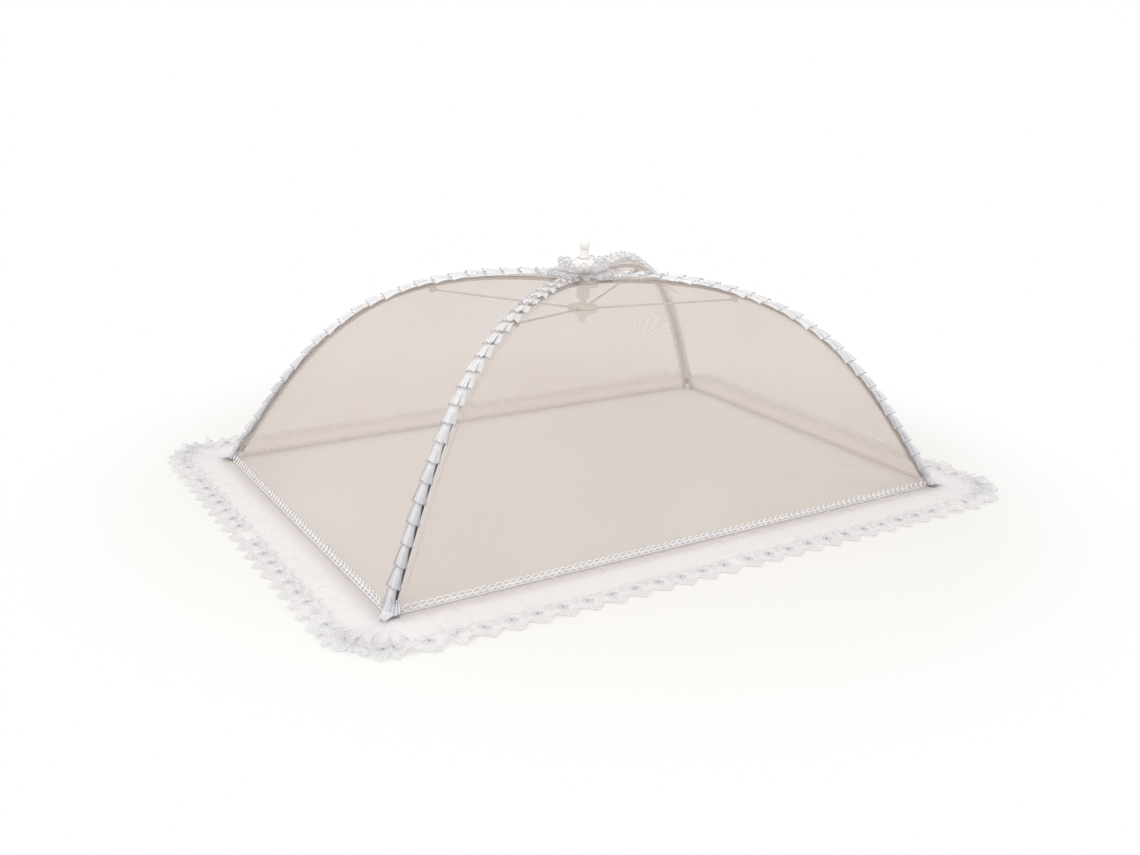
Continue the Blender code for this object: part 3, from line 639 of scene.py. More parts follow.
NET = net_cloth()
LACE = lace_tulle("Lace tulle", (0.94, 0.92, 0.93), (0.90, 0.875, 0.89), 0.28, 0.62)
LACE_EDGE = lace_tulle("Lace edge tulle", (0.98, 0.965, 0.97), (0.945, 0.93, 0.94), 0.42, 0.80)
CROWN_LACE = lace_tulle("Crown lace", (0.995, 0.99, 1.0), (0.97, 0.965, 0.985), 0.14, 0.48)
ORGANZA = organza()
EMBROIDERY = stitched_cloth("Lace embroidery", (0.94, 0.935, 0.945), (0.88, 0.875, 0.89), 0.8, 300.0)
SILVER = stitched_cloth("Silver thread", (0.76, 0.75, 0.78), (0.64, 0.63, 0.67), 0.6, 700.0)
TAPE = stitched_cloth("Braid tape", (0.88, 0.86, 0.865), (0.80, 0.78, 0.785), 0.8, 500.0)
EDGING = stitched_cloth("Edging thread", (0.34, 0.34, 0.39), (0.21, 0.21, 0.25), 0.6, 700.0)
CASING = stitched_cloth("Rib casing", (0.52, 0.465, 0.42), (0.42, 0.375, 0.335), 0.85, 400.0)
SEAM = stitched_cloth("Net seam", (0.70, 0.63, 0.58), (0.61, 0.54, 0.50), 0.7, 700.0)
BRAID = stitched_cloth("Braid thread", (0.97, 0.965, 0.97), (0.90, 0.895, 0.91), 0.5, 500.0)
RIBBON = stitched_cloth("Corner ribbon", (0.78, 0.775, 0.81), (0.61, 0.605, 0.65), 0.55, 260.0)
PLASTIC = moulded_plastic("White plastic", (0.91, 0.885, 0.85), (0.87, 0.845, 0.81))
# The same white plastic as the cap, painted lighter to offset the shade under the cover; a share of its
# light also comes through it
MILKY_PLASTIC_PAINTED_LIGHTER = moulded_plastic("Milky plastic", (0.99, 0.98, 0.965), (0.96, 0.95, 0.935), 0.6)
SPRING_STEEL = drawn_wire("Spring steel", (0.11, 0.10, 0.088), (0.06, 0.055, 0.048), 0.42, 0.45)
BRIGHT_STEEL = drawn_wire("Stretcher steel", (0.66, 0.61, 0.56), (0.52, 0.48, 0.44), 0.40, 0.70)


# Making and laying cloth


def flat_sheet(body, columns, rows, low, high, finish_number=0):
    """A grid on the cutting table from low to high, with its map in metres."""
    old = set(body.faces)
    cut = body.loops.layers.uv.get("cut") or body.loops.layers.uv.new("cut")
    low, high = Vector(low), Vector(high)
    middle = Matrix.Translation(((low + high) / 2).to_3d())
    size = Matrix.Diagonal((*((high - low) / 2), 1, 1))
    bmesh.ops.create_grid(body, x_segments=columns, y_segments=rows, size=1.0, matrix=middle @ size)
    for face in body.faces:
        if face not in old:
            face.material_index = finish_number
            for loop in face.loops:
                loop[cut].uv = loop.vert.co.xy
    return body


def shown(name, data):
    """A new object in the scene."""
    item = bpy.data.objects.new(name, data)
    bpy.context.collection.objects.link(item)
    return item


def meshed(name, body):
    """The mesh of a body that is done."""
    mesh = bpy.data.meshes.new(name)
    body.to_mesh(mesh)
    body.free()
    return mesh


def add_threads(body, lines, radius, finish_number, closed=False, fine=0):
    """Round threads along lists of points, added to a piece."""
    curve = bpy.data.curves.new("threads", "CURVE")
    curve.dimensions = "3D"
    curve.bevel_depth = radius
    curve.bevel_resolution = fine
    curve.use_fill_caps = True
    for line in lines:
        spline = curve.splines.new("POLY")
        spline.points.add(len(line) - 1)
        spline.use_cyclic_u = closed
        for knot, place in zip(spline.points, line):
            knot.co = (*place, 1)
    guide = shown("threads", curve)
    bpy.context.view_layer.update()
    mesh = bpy.data.meshes.new_from_object(guide.evaluated_get(bpy.context.evaluated_depsgraph_get()))
    start = len(body.faces)
    body.from_mesh(mesh)
    body.faces.ensure_lookup_table()
    for face in body.faces[start:]:
        face.material_index = finish_number
        face.smooth = True
    bpy.data.objects.remove(guide, do_unlink=True)
    bpy.data.curves.remove(curve)
    bpy.data.meshes.remove(mesh)


def sew(body, drawn, kinds):
    """Adds the lines of every kind of thread."""
    for kind, (radius, finish_number, closed) in kinds.items():
        add_threads(body, drawn[kind], radius, finish_number, closed)


def lay(body, place):
    """Takes a piece from the cutting table to its place on the cover."""
    for vert in body.verts:
        vert.co = place(*vert.co)


def piece(name, body, finishes, body_name, slot, *stands_for):
    """A finished piece that rides on a body and stands for its CAD nodes if it has any. Its slot is not
    used.
    """
    bmesh.ops.recalc_face_normals(body, faces=body.faces)
    mesh = meshed(name, body)
    mesh.shade_smooth()
    for material in finishes:
        mesh.materials.append(material)
    item = shown(name, mesh)
    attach(item, body_name)
    if stands_for:
        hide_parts(*stands_for)
    return item


def closes_up(corner, side, *items):
    """Gives each piece of one half its own mesh. The axis and anchor about which the cloth would close up
    on its rib as the frame folds are worked out but not used.
    """
    chord = Vector((RIB_FOOT.x, RIB_FOOT.y, RIB_END_HEIGHT)) - Vector((0, 0, PIVOT_HEIGHT))
    across = Vector((0, 0, 1)).cross(chord).normalized()
    if across[1 - side] < 0:
        across.negate()
    inward = across.cross(chord).normalized()
    if inward.z > 0:
        inward.negate()
    lean = FOLD_LEANS[side]
    axis = corner.mirrored(across * math.sqrt(1 - lean**2) + inward * lean)
    anchor = corner.mirrored(between(SKIN.centre, 0) - inward * FOLD_BOW)
    for item in items:
        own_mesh(item)


# The net


def crease(corner, side, across, station):
    """How far the net stands up along the lines that pull from its corner, and how much closer it is on
    one flank of each ridge: partly doubled cloth, partly painted shade.
    """
    spot = SKIN.ridge(min(station, RIB_SPANS), 0)[side] * (1 - across)
    up = max(HEM_RUN - station * SKIN.span, 0)
    reach = math.hypot(spot, up)
    angle = math.atan2(up, spot)
    lift = 0.0
    doubling_and_shade = 0.0
    for lean, length, height in CREASES:
        if reach < length:
            off = reach * (angle - lean) / CREASE_SPREAD
            strength = math.sin(math.pi * (reach / length) ** 0.6)
            lift += height * strength * math.exp(-off * off / 4)
            # Closer net shifted to one flank of the ridge: partly doubled cloth, partly painted shade
            doubling_and_shade += height / CREASES[0][2] * strength * math.exp(-(off - 0.8) ** 2 / 2)
    share = 1.0 if corner.name == STRONG_CREASES else WEAKER_SHARE
    return lift * share, min(doubling_and_shade * share, 1)


def opening(corner, side, across, station):
    """How far the net has come away beside the bare wire, from 0 to 1."""
    if corner.name != BARE_CORNER or side:
        return 0.0
    off = between(SKIN.crossing, station)[side] * SKIN.ridge(station, 0)[side] * (1 - across)
    return min(max((OPEN_WIDTH - off) / OPEN_EDGE, 0), 1) * min(max(station - BARE_FROM, 0), 1)


def net_half(corner, side):
    """One half of a side of the net, with the turn-out that lies under the lace, and its seam."""
    first, last = corner.side_names(side)
    rows = NET_ROWS + HEM_ROWS
    sheet = flat_sheet(bmesh.new(), NET_COLUMNS, rows, (0, 0), (1, rows))
    cut = sheet.loops.layers.uv["cut"]
    crease_doubling_and_shade = sheet.verts.layers.float.new("crease_doubling_and_shade")
    opened = sheet.verts.layers.float.new("opened")
    for vert in sheet.verts:
        across = 1 - (1 - vert.co.x) ** NET_COLUMN_POWER
        down = min(vert.co.y / NET_ROWS, 1)
        station = HEM_STATION * down
        out = HEM_TURN_OUT * max(vert.co.y - NET_ROWS, 0) / HEM_ROWS
        lift, doubling_and_shade = crease(corner, side, across, station)
        vert[crease_doubling_and_shade] = doubling_and_shade
        vert[opened] = opening(corner, side, across, station)
        for loop in vert.link_loops:
            loop[cut].uv = (SKIN.ridge(station, 0)[side] * across, HEM_RUN * down + out)
        spot = SKIN.point(side, station, NET_THICKNESS / 2, across)
        if out:
            spot.z = SEAT_GAP
        spot[1 - side] += out + lift
        vert.co = corner.clothed(spot)
    name = f"{first}_net_{last}"
    item = piece(name, sheet, [NET], corner.body, "net", f"{name}_half")
    line = []
    for step in range(3, 2 * RIB_SPANS):
        across = SKIN.across_at(side, step / 2, SEAM_INSET)
        line.append(SKIN.point(side, step / 2, NET_THICKNESS, across))
    seam = bmesh.new()
    add_threads(seam, [line], SEAM_THREAD, 0)
    lay(seam, lambda *spot: corner.clothed(Vector(spot)))
    stitching = piece(f"{name}_seam", seam, [SEAM], corner.body, "net")
    closes_up(corner, side, item, stitching)


def rib_casing(corner):
    """The net's own channel round the wire. One wire has worked out of its lower half."""
    last = BARE_FROM if corner.name == BARE_CORNER else RIB_SPANS - 1
    channel = flat_sheet(bmesh.new(), CASING_COLUMNS, 2 * last, (-CASING_TURN, 1), (CASING_TURN, last))

    def place(turn, station, _):
        up = between(SKIN.miter, station).normalized()
        off = SIDEWAYS * math.sin(turn) - up * math.cos(turn)
        return corner.mirrored(between(SKIN.centre, station) + off * CASING_RADIUS)

    lay(channel, place)
    item = piece("rib_casing_" + corner.name, channel, [CASING], corner.body, "net")


# The trim over each rib


def on_scale(corner, lowest, scale, share, down, up):
    """A spot of one scale: share runs from -1 to 1 over the rib, down from 0 to 1 along it."""
    station = scale + down * (1 + TRIM_OVERLAP) + TRIM_SIDE_DROP * down * abs(share) ** 3
    station = min(station, lowest)
    width = TRIM_TOP_WIDTH + (TRIM_FOOT_WIDTH - TRIM_TOP_WIDTH) * down**1.3
    crown = min(station / 2, 1) * (1 + 0.8 * max(1 - station / 9, 0))
    foot = min((lowest + 1 - station) / 2, 1)
    puff = TRIM_SEAT + TRIM_LIFT * (1 - (1 - down) ** 4) * (1 - 0.5 * share**2)
    pleat = TRIM_PLEAT * down * math.cos(share * 3.5 * math.pi + 1.7 * scale)
    drift = TRIM_DRIFT * min(max((station - 6) / 14, 0), 1) if corner.name == BARE_CORNER else 0.0
    off = share * width + drift
    side = 0 if off < 0 else 1
    rise = NET_THICKNESS + SEAT_GAP + (puff + pleat) * crown * foot + up
    return corner.clothed(SKIN.point(side, station, rise, SKIN.across_at(side, station, abs(off))))


def rib_trim(corner):
    """Overlapping pleated scales of organza, each edged with thread, from the crown to the foot."""
    lowest = SKIN.station_at(0.0016, NET_THICKNESS)
    half = TRIM_COLUMNS // 2
    cloth = bmesh.new()
    for scale in range(RIB_SPANS):
        flat_sheet(cloth, TRIM_COLUMNS, TRIM_ROWS, (-1, 2 * scale), (1, 2 * scale + 1))
    cut = cloth.loops.layers.uv["cut"]
    slit = []
    for face in cloth.faces:
        middle = face.calc_center_median()
        if abs(abs(middle.x) * half - SLIT_COLUMN - 0.5) < 0.2 and middle.y % 2 > 0.4:
            slit.append(face)
        for loop in face.loops:
            loop[cut].uv = (loop.vert.co.x * TRIM_FOOT_WIDTH, loop.vert.co.y * SKIN.span)
    bmesh.ops.delete(cloth, geom=slit, context="FACES")

    def place(share, down, up):
        scale = int(down / 2 + 1e-6)
        return on_scale(corner, lowest, scale, share, down - 2 * scale, up)

    # Painted shade, stronger toward the foot and at the sides of each scale
    painted_foot_shade = cloth.verts.layers.float.new("painted_foot_shade")
    for vert in cloth.verts:
        station = vert.co.y - int(vert.co.y / 2 + 1e-6)
        ramp = min(max((station - PAINTED_SHADE_FROM) / PAINTED_SHADE_RUN, 0), 1)
        vert[painted_foot_shade] = PAINTED_SHADE_MOST * ramp * abs(vert.co.x) ** 0.8
    lay(cloth, place)
    drawn = {kind: [] for kind in TRIM_THREADS}
    parts = ((-half, -SLIT_COLUMN - 1), (-SLIT_COLUMN, SLIT_COLUMN), (SLIT_COLUMN + 1, half))
    for scale in range(RIB_SPANS):
        start = 2 * scale
        for low, high in parts:
            line = [place(step / half, start + 1, 0.0002) for step in range(low, high + 1)]
            drawn["lower edge"].append(line)
        rows = [start + step / TRIM_ROWS for step in range(1, TRIM_ROWS + 1)]
        for share in (-1, 1):
            sides = drawn["bold side" if scale > BOLD_FROM else "faint side"]
            sides.append([place(share, row, 0.0001) for row in rows])
        for share in FOLD_SHARES:
            drawn["fold"].append([place(share, row, 0.00005) for row in rows[1:]])
    work = bmesh.new()
    sew(work, drawn, TRIM_THREADS)
    slot = "organza_trim"
    item = piece("trim_" + corner.name, cloth, [ORGANZA], corner.body, slot, "rib_trim_" + corner.name)
    edge = piece("trim_edging_" + corner.name, work, [SILVER, EDGING], corner.body, slot)
    nets = ["_net_".join(corner.side_names(side)) for side in (0, 1)]


# The braid along the hem


def ring(middle, radius, height, steps=10):
    """Points of a circle round a spot."""
    spots = [Vector((radius, 0)) for _ in range(steps)]
    for step, spot in enumerate(spots):
        spot.rotate(Matrix.Rotation(math.tau * step / steps, 2))
    return [(middle.x + spot.x, middle.y + spot.y, height) for spot in spots]


def hem_braid(corner, side):
    """A gimp braid: a row of overlapping rings over a narrow grey tape and a straight cord."""
    first, last = corner.side_names(side)
    length = HEM[side]
    turns = round(length / BRAID_PITCH)
    pitch = length / turns
    wide, high = BRAID_RING_REACH
    tilt = BRAID_RING_TILT * corner.signs[side]
    rings = []
    for number in range(turns):
        middle = pitch * (number + 0.5)
        line = []
        for x, y, rise in ring(Vector((0, 0)), 1.0, BRAID_LIFT, 12):
            along = min(middle + x * wide, length)
            line.append((along, BRAID_RING_MIDDLE + y * high, rise - tilt * x * wide))
        rings.append(line)
    cord = []
    for step in range(2 * turns + 1):
        along = pitch * step / 2
        cord.append((along, 0.0007 + 0.00012 * math.sin(along * 2400), BRAID_LIFT))
    rim = [(pitch * step, -0.0003, BRAID_LIFT / 2) for step in range(turns + 1)]
    body = flat_sheet(bmesh.new(), turns, 1, (0, TAPE_EDGES[0]), (length, TAPE_EDGES[1]), 1)
    add_threads(body, rings, BRAID_RING_THREAD, 0, closed=True)
    add_threads(body, [cord], BRAID_CORD, 0, fine=1)
    add_threads(body, [rim], BRAID_RIM, 2)

    def place(along, up, rise):
        level = NET_THICKNESS + SEAT_GAP + rise
        station = SKIN.station_at(0.0014, level) - up / SKIN.span
        across = min(max(along / SKIN.ridge(station, 0)[side], 0), 1)
        return corner.mirrored(SKIN.point(side, station, level, across))

    lay(body, place)
    name = f"{first}_hem_braid_{last}"
    item = piece(name, body, [BRAID, TAPE, SILVER], corner.body, "silver_braid", f"{name}_half")
    closes_up(corner, side, item)


# The lace


LEAVES = (
    # across as a share of the pitch, the tip's inset from the outer line, length, width and lean
    (0.42, 0.0004, 0.0070, 0.0026, 0.0),
    (0.29, 0.0024, 0.0068, 0.0024, 0.35),
    (0.55, 0.0024, 0.0068, 0.0024, -0.35),
    (0.16, 0.0052, 0.0064, 0.0024, 0.70),
    (0.68, 0.0052, 0.0064, 0.0024, -0.70),
    (0.04, 0.0078, 0.0056, 0.0022, 0.95),
    (0.80, 0.0078, 0.0056, 0.0022, -0.95),
    (0.92, 0.0100, 0.0050, 0.0022, 0.0),
    (0.36, 0.0086, 0.0050, 0.0020, 0.20),
    (0.48, 0.0086, 0.0050, 0.0020, -0.20),
    (0.18, 0.0170, 0.0056, 0.0020, 1.15),
    (0.66, 0.0170, 0.0056, 0.0020, -1.15),
    (0.32, 0.0240, 0.0058, 0.0020, 0.45),
    (0.52, 0.0240, 0.0058, 0.0020, -0.45),
)
TONGUE_TIP = 0.42
TONGUE_LOBES = 6
LEAF_STEPS = 10
SMALL_RINGS = ((0.92, 0.0175), (0.92, 0.0225), (0.10, 0.0245), (0.74, 0.0245))
STEM_INSETS = (0.0340, 0.0375, 0.0410)
STEM_LENGTH = 0.0016
STITCH_START = 0.34


def edge_inset(share):
    """How far the lace's edge is drawn in at a share of a scallop: a pointed tongue with small lobes."""
    off = abs((share - TONGUE_TIP + 0.5) % 1.0 - 0.5)
    lobe = 1 - abs(math.sin(math.pi * TONGUE_LOBES * (share - TONGUE_TIP + 0.5 / TONGUE_LOBES)))
    return LACE_SCALLOP_DEPTH * (off / 0.5) ** 1.25 + LACE_LOBE_DEPTH * lobe


def leaf(middle, length, width, lean):
    """The corded outline of a leaf, pointed at both ends."""
    turn = Matrix.Rotation(lean, 2)
    outline = []
    for x, y, _ in ring(Vector((0, 0)), 1.0, 0, LEAF_STEPS):
        spot = middle + turn @ Vector((x * abs(x) ** 0.4 * width / 2, y * length / 2))
        outline.append((spot.x, spot.y, 0.0002))
    return outline


def scroll(middle, way):
    """A curl of thread that winds inwards, to one side or the other."""
    line = []
    for step in range(15):
        radius = 0.0030 * (1 - step / 18)
        spot = middle + Matrix.Rotation(way * step * 0.62, 2) @ Vector((0, radius))
        line.append((spot.x, spot.y, 0.0003))
    return line


def lace_flat(scallops, reach, length, stitched=False):
    """Lace as it is cut: tulle with a tongued edge, and its embroidery, as two pieces."""
    pitch = length / scallops
    columns = round(scallops * LACE_STEPS)
    tulle = flat_sheet(bmesh.new(), columns, LACE_ROWS, (0, 0), (length, 1))
    cut = tulle.loops.layers.uv["cut"]
    for vert in tulle.verts:
        vert.co.y = reach * vert.co.y - edge_inset(vert.co.x / pitch) * vert.co.y**4
    for face in tulle.faces:
        face.material_index = int(face.calc_center_median().y > reach - LACE_CLOSE_WIDTH)
        for loop in face.loops:
            loop[cut].uv = loop.vert.co.xy
    drawn = {kind: [] for kind in LACE_THREADS}
    for kind, inset in (("edge", 0.0), ("inner edge", 0.0014)):
        line = []
        for step in range(2 * columns + 1):
            along = length * step / (2 * columns)
            line.append((along, reach - edge_inset(along / pitch) - inset, 0.0001))
        drawn[kind].append(line)
    for scallop in range(math.ceil(scallops)):
        start = pitch * scallop
        for across, inset, long, wide, lean in LEAVES:
            middle = Vector((start + across * pitch, reach - inset - long / 2))
            if middle.x < length - wide:
                drawn["leaf"].append(leaf(middle, long, wide, lean))
        stem = start + TONGUE_TIP * pitch
        eye = Vector((stem, reach - EYE_INSET))
        if eye.x < length - 0.0060:
            drawn["ring"].append(ring(eye, 0.0024, 0.0004))
            drawn["dot"].append(ring(eye, 0.0009, 0.0003, 6))
            for x, y, _ in ring(eye, 0.0042, 0, 8):
                drawn["circle"].append(ring(Vector((x, y)), 0.0013, 0.0002, 6))
        for across, out in SMALL_RINGS:
            spot = Vector((start + across * pitch, reach - out))
            if spot.x < length - 0.0020:
                drawn["circle"].append(ring(spot, 0.0017, 0.0002, 8))
        if eye.x + 0.0100 < length:
            for way in (-1, 1):
                drawn["scroll"].append(scroll(eye + Vector((way * 0.0078, -0.0040)), way))
        if stem < length:
            for inset in STEM_INSETS:
                out = reach - inset
                drawn["stem"].append([(stem, out, 0.0003), (stem + 0.0002, out - STEM_LENGTH, 0.0003)])
        seam = start + STITCH_START * pitch
        if stitched and seam < length:
            line = [(seam - 0.0006 * step, 0.0004 + 0.0032 * step, 0.0003) for step in range(5)]
            drawn["stitch"].append(line)
    work = bmesh.new()
    sew(work, drawn, LACE_THREADS)
    return tulle, work


def lace_pieces(name, corner, tulle, work, node):
    """Laid lace and its embroidery, as two pieces that ride together."""
    cloth = piece(name, tulle, [LACE, LACE_EDGE], corner.body, "lace", node)
    threads = [EMBROIDERY, SILVER, EDGING]
    return cloth, piece(name + "_embroidery", work, threads, corner.body, "lace")


def ripple(along, out):
    """How high the lace stands off the table. It lies flat where the corner's gathers take over."""
    swell = 0.5 + 0.5 * math.sin(along * 182.0 + 0.7 * math.sin(along * 41.0))
    roll = 0.5 + 0.5 * math.sin(along * 61.0 + 1.3)
    gathered = math.sin(along * 215.0) ** 2 * math.exp(-(((along - 0.026) / 0.026) ** 2))
    waves = 0.0007 * swell + 0.0006 * roll + 0.0065 * gathered
    return LACE_LIFT + min(along / 0.02, 1) * out**1.5 * waves


def lace_half(corner, side):
    """One half of a side's lace, laid on the table from the corner to mid-side."""
    first, last = corner.side_names(side)
    length = HEM[side] - SEAT_GAP
    reach = LACE_REACH[side]
    tulle, work = lace_flat(LACE_SCALLOPS[side], reach, length, side == 0)

    def place(along, out, up):
        spot = Vector((0, 0, ripple(along, out / reach) + up))
        spot[side] = length - along
        spot[1 - side] = HEM[1 - side] + SEAT_GAP + out
        return corner.mirrored(spot)

    lay(tulle, place)
    lay(work, place)
    name = f"{first}_lace_{last}"
    cloth, embroidery = lace_pieces(name, corner, tulle, work, f"{name}_half")
    closes_up(corner, side, cloth, embroidery)


def corner_gather(corner):
    """The flounce that carries the lace round a corner in standing folds."""
    reach = LACE_REACH[0]
    tulle, work = lace_flat(GATHER_SCALLOPS, reach, FLOUNCE_LENGTH)
    folds = len(GATHER_FOLDS)

    def place(along, out, up):
        share = along / FLOUNCE_LENGTH
        away = out / reach
        fold = (1 - math.cos(folds * share * math.tau)) / 2
        swing = 0.09 * away * math.sin(folds * share * math.tau) * (1 - abs(2 * share - 1))
        turn = share * math.pi / 2 + swing
        even = math.cos(turn) ** 2
        whole = LACE_REACH[1] * even + LACE_REACH[0] * (1 - even)
        radius = 0.002 + (whole - 0.002) * away - 0.003 * away * fold
        high = GATHER_FOLDS[min(int(share * folds), folds - 1)]
        height = LACE_LIFT + GATHER_FOLD_HEIGHT * high * fold * away**0.8 + up
        x = HEM.x + SEAT_GAP + radius * math.cos(turn)
        y = HEM.y + SEAT_GAP + radius * math.sin(turn)
        return corner.mirrored(Vector((x, y, height)))

    lay(tulle, place)
    lay(work, place)
    name = "corner_flounce_" + corner.name
    cloth, embroidery = lace_pieces(name, corner, tulle, work, "corner_gather_" + corner.name)
    axis = tuple(corner.mirrored(SIDEWAYS))
    hub = tuple(corner.mirrored(between(SKIN.centre, 0)))
    for item in (cloth, embroidery):
        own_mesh(item)


def corner_tie(corner):
    """The ribbon gathered round the foot of a rib, with its smooth tab over the lace, and dark threads
    down its pleat valleys as painted shade.
    """
    foot = HEM - OUTWARD * TIE_INSET

    def gathered(share, down, _=0):
        turn = math.pi * share
        fold = math.cos(TIE_PLEATS * math.pi * (share / TIE_TURN + 1))
        radius = 0.0032 + 0.0038 * down**0.8 + 0.0011 * fold * (0.3 + 0.7 * down)
        out = radius * math.cos(turn) - 0.0050 * (1 - down)
        height = 0.0106 - 0.0084 * down + 0.0009 * fold
        spot = foot + OUTWARD * out + SIDEWAYS * radius * math.sin(turn) + Vector((0, 0, height))
        return corner.mirrored(spot)

    def smoothed(aside, away, _):
        down = (away - TAB_START) / TAB_LENGTH
        height = 0.0038 - 0.0016 * down + 0.0012 * math.cos(aside / TAB_HALF_WIDTH * math.pi / 2)
        rounded = aside * (1 - 0.55 * down**4)
        return corner.mirrored(foot + OUTWARD * away + SIDEWAYS * rounded + Vector((0, 0, height)))

    bunch = flat_sheet(bmesh.new(), TIE_PLEATS * 8, TIE_ROWS, (-TIE_TURN, 0), (TIE_TURN, 1))
    lay(bunch, gathered)
    low, high = (-TAB_HALF_WIDTH, TAB_START), (TAB_HALF_WIDTH, TAB_START + TAB_LENGTH)
    tab = flat_sheet(bmesh.new(), 8, 8, low, high)
    lay(tab, smoothed)
    steps = TIE_PLEATS * 8
    shares = [TIE_TURN * (2 * step / steps - 1) for step in range(steps + 1)]
    rims = [[gathered(share, down) for share in shares] for down in (1, 0.12)]
    painted_valley_shades = []
    # Painted shade: a dark thread down the valley of each pleat
    for share in shares[4::8]:
        painted_valley_shades.append([gathered(share, 0.15 + 0.17 * step) for step in range(6)])
    work = bmesh.new()
    sew(work, {"rim": rims, "painted_valley_shade": painted_valley_shades}, TIE_THREADS)
    slot = "organza_trim"
    knot = piece("corner_bunch_" + corner.name, bunch, [RIBBON], corner.body, slot)
    end = piece("corner_tab_" + corner.name, tab, [RIBBON], corner.body, slot)
    edge = piece("corner_edging_and_painted_shade_" + corner.name, work, [EDGING], corner.body, slot)


# The crown


def lathe(profile, segments):
    """A closed turned piece from (radius, height) points round the Z axis."""
    body = bmesh.new()
    line = [body.verts.new((radius, 0, height)) for radius, height in profile]
    edges = [body.edges.new(pair) for pair in zip(line, line[1:])]
    turned = {"cent": (0, 0, 0), "axis": (0, 0, 1), "angle": math.tau}
    bmesh.ops.spin(body, geom=line + edges, steps=segments, use_merge=True, **turned)
    bmesh.ops.remove_doubles(body, verts=body.verts, dist=1e-6)
    bmesh.ops.recalc_face_normals(body, faces=body.faces)
    return body


def dome_cap():
    """The domed cap on its boss, with a hole for the knob's stem."""
    seat = HUB_TOP + SEAT_GAP
    base = HUB_TOP + CAP_UNDERSIDE_RISE
    dome = []
    for step in range(15):
        turn = math.pi / 2 * step / 14
        radius = CAP_FLAT_RADIUS + (CAP_RADIUS - CAP_FLAT_RADIUS) * math.cos(turn)
        dome.append((radius, base + CAP_RIM + (CAP_HEIGHT - CAP_RIM) * math.sin(turn)))
    profile = [
        (CAP_HOLE_RADIUS, seat),
        (CAP_BOSS_RADIUS, seat),
        (CAP_BOSS_RADIUS, base),
        (CAP_RADIUS - 0.0008, base),
        (CAP_RADIUS - 0.0002, base + 0.0003),
        (CAP_RADIUS, base + 0.0008),
        *dome,
        (CAP_HOLE_RADIUS, base + CAP_HEIGHT),
        (CAP_HOLE_RADIUS, seat),
    ]
    piece("domed_cap", lathe(profile, 48), [PLASTIC], "crown", "white_plastic", "dome_cap")


def lifting_knob():
    """The knob, with its stem down through the cap."""
    foot = HUB_TOP - KNOB_STEM_DEPTH
    seat = HUB_TOP + CAP_UNDERSIDE_RISE + CAP_HEIGHT + SEAT_GAP
    half = KNOB_HEAD_HEIGHT / 2
    neck = []
    for step in range(8):
        up = step / 7
        neck.append((0.0040 + 0.0014 * (1 - up) ** 3 + 0.0003 * up**4, seat + KNOB_NECK_HEIGHT * up))
    head = []
    for step in range(2, 17):
        turn = math.pi * (step / 16 - 0.5)
        radius = KNOB_HEAD_RADIUS * math.cos(turn) ** 0.6 if step < 16 else 0.0
        head.append((radius, seat + KNOB_NECK_HEIGHT + half + half * math.sin(turn)))
    profile = [(0, foot), (KNOB_STEM_RADIUS, foot), (KNOB_STEM_RADIUS, seat), *neck, *head]
    piece("lifting_knob", lathe(profile, 40), [PLASTIC], "crown", "white_plastic", "knob")


def crown_ruffle():
    """Two rings of lace petals gathered round the cap, the upper one standing."""
    tulle = bmesh.new()
    cut = tulle.loops.layers.uv.new("cut")
    work = bmesh.new()
    around = [math.tau * step / 10 for step in range(10)]
    over = [math.pi * step / 10 for step in range(11)]
    start = 0
    for petals, inner, outer, low, high, first in RUFFLE_TIERS:
        columns = petals * 10

        def place(along, out, up):
            turn = math.tau * along / petals + first
            lobe = abs(math.sin(math.pi * along))
            tip = outer - 0.0052 * (1 - lobe**0.7)
            radius = inner + (tip - inner) * out
            wave = 0.0022 * out * math.cos(math.tau * along + 0.9 * math.sin(2.0 * turn))
            uneven = 0.0012 * out * math.sin(3 * turn + petals)
            height = HUB_TOP + low + (high - low) * out**1.3 + wave + uneven + up
            return Vector((radius * math.cos(turn), radius * math.sin(turn), height))

        def curve(middle, wide, out, high, turns, up):
            return [place(middle + wide * math.cos(a), out + high * math.sin(a), up) for a in turns]

        flat_sheet(tulle, columns, 6, (0, 0), (petals, 1))
        tulle.verts.ensure_lookup_table()
        for vert in tulle.verts[start:]:
            vert.co = place(*vert.co)
        start = len(tulle.verts)
        rim = [place(petals * step / columns, 1, 0) for step in range(columns)]
        middles = [petal + 0.5 for petal in range(petals)]
        loops = [curve(middle, 0.30, 0.68, 0.20, around, 0.0004) for middle in middles]
        arches = [curve(middle, 0.44, 0.35, 0.52, over, 0.0003) for middle in middles]
        sew(work, {"rim": [rim], "loop": loops, "arch": arches}, RUFFLE_THREADS)
    for face in tulle.faces:
        for loop in face.loops:
            turn = math.atan2(loop.vert.co.y, loop.vert.co.x)
            loop[cut].uv = (turn * 0.02, loop.vert.co.xy.length)
    bmesh.ops.remove_doubles(tulle, verts=tulle.verts, dist=1e-5)
    cloth = piece("crown_lace", tulle, [CROWN_LACE], "crown", "lace", "crown_ruffle")
    edging = piece("crown_lace_edging", work, [EMBROIDERY, SILVER, EDGING], "crown", "lace")


def frame_finishes():
    """Gives the carried-over frame its wire and its plastic."""
    for name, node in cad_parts.items():
        # The parts under the cover get the plastic painted lighter against their shade
        if name in ("hub", "runner", "centre_post"):
            finish_for = MILKY_PLASTIC_PAINTED_LIGHTER
        elif name.startswith("rib_tip"):
            finish_for = PLASTIC
        elif name.startswith("stretcher") or name.endswith("_ring"):
            finish_for = BRIGHT_STEEL
        elif name.startswith("rib_"):
            finish_for = SPRING_STEEL
        else:
            continue
        node.data.materials.clear()
        node.data.materials.append(finish_for)


# The table, the light and the camera


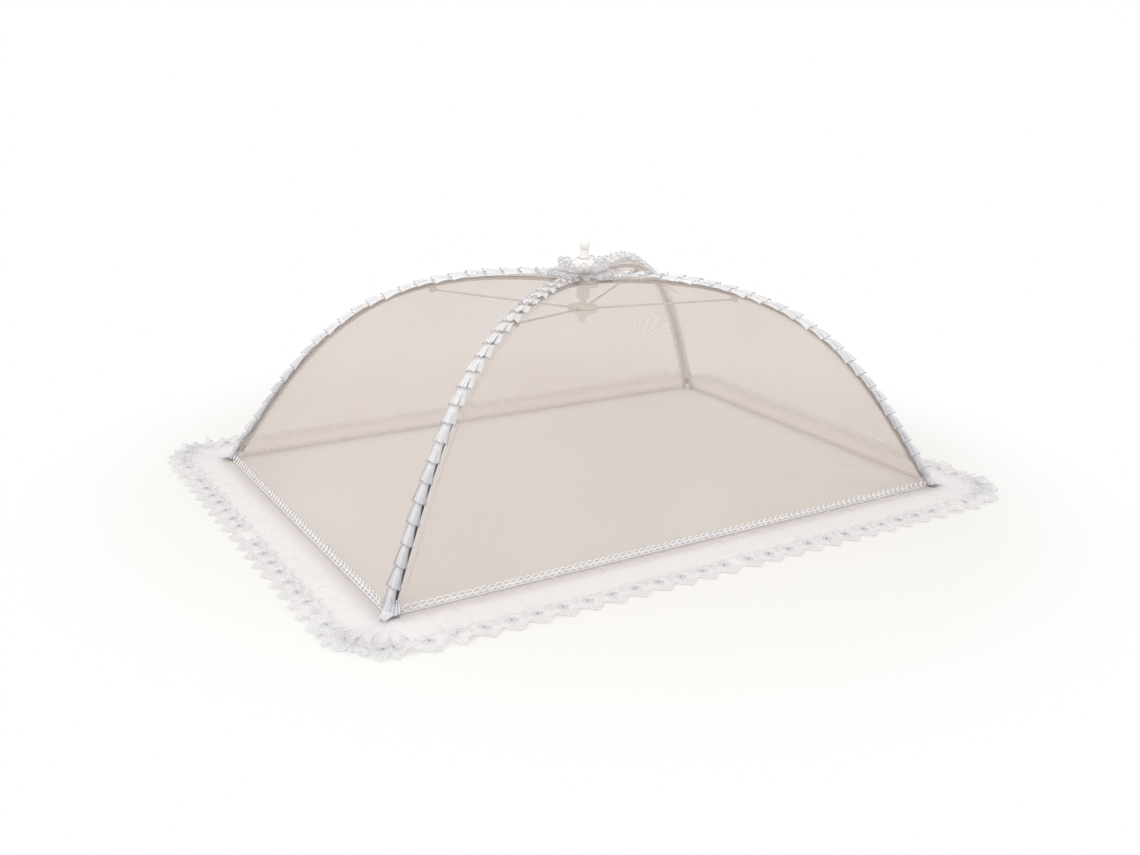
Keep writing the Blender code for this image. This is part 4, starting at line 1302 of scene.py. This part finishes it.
def seen(tree):
    """1 on the rays of the camera, of mirrors and of clear plastic, and 0 on the others."""
    path = tree.nodes.new("ShaderNodeLightPath").outputs
    clear = math_node(tree, "ADD", path["Is Glossy Ray"], path["Is Transmission Ray"])
    return math_node(tree, "ADD", path["Is Camera Ray"], clear, clamp=True)


def table():
    """A plain pale table that fades to white away from the cover."""
    body = bmesh.new()
    under = Matrix.Translation((0, 0, -SEAT_GAP))
    bmesh.ops.create_grid(body, x_segments=1, y_segments=1, size=TABLE_SIZE, matrix=under)
    mesh = meshed("table", body)
    item = shown("table", mesh)
    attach(item, "runner")
    material, tree, shader = finish("Pale table", 0.9, specular_ior_level=0.1)
    shader.inputs["Base Color"].default_value = TABLE_TONE
    off = added(tree, "VectorMath", {0: object_place(tree)}, operation="LENGTH").outputs["Value"]
    far = lifted(tree, off, 0.0, 1.0, *TABLE_FADE, "SMOOTHSTEP")
    white = added(tree, "Emission", {"Strength": 1.0})
    mixed(tree, math_node(tree, "MULTIPLY", far, seen(tree)), shader, white)
    mesh.materials.append(material)


def studio_light():
    """Soft light from all round behind a white backdrop, and one wide lamp."""
    world = bpy.data.worlds.new("Studio")
    bpy.context.scene.world = world
    world.use_nodes = True
    tree = world.node_tree
    soft = tree.nodes["Background"]
    soft.inputs["Color"].default_value = SKY_TONE
    soft.inputs["Strength"].default_value = SKY_LIGHT
    plain = added(tree, "Background", {"Color": (1, 1, 1, 1)})
    mixed(tree, seen(tree), soft, plain, "World Output")
    lamp_data = bpy.data.lights.new("window", "AREA")
    lamp_data.shape = "DISK"
    lamp_data.size = LAMP_SIZE
    lamp_data.energy = LAMP_WATTS
    lamp = shown("window", lamp_data)
    lamp.location = LAMP_PLACE
    lamp.rotation_euler = (LAMP_AIM - LAMP_PLACE).to_track_quat("-Z", "Y").to_euler()


def camera():
    """The camera, where the photograph was taken from."""
    view = bpy.data.cameras.new("view")
    view.sensor_width = 36.0
    view.lens = LENS
    view.clip_start = 0.01
    item = shown("view", view)
    turn = Matrix((CAMERA_RIGHT, CAMERA_UP, -CAMERA_AHEAD)).transposed().to_4x4()
    item.matrix_world = Matrix.Translation(CAMERA_PLACE) @ turn
    bpy.context.scene.camera = item
    bpy.context.scene.view_settings.view_transform = "Standard"


def dress():
    for row in CORNERS:
        corner = Corner(*row)
        for side in (0, 1):
            net_half(corner, side)
            hem_braid(corner, side)
            lace_half(corner, side)
        rib_casing(corner)
        rib_trim(corner)
        corner_gather(corner)
        corner_tie(corner)
    crown_ruffle()
    dome_cap()
    lifting_knob()
    frame_finishes()
    table()
    studio_light()
    camera()


dress()
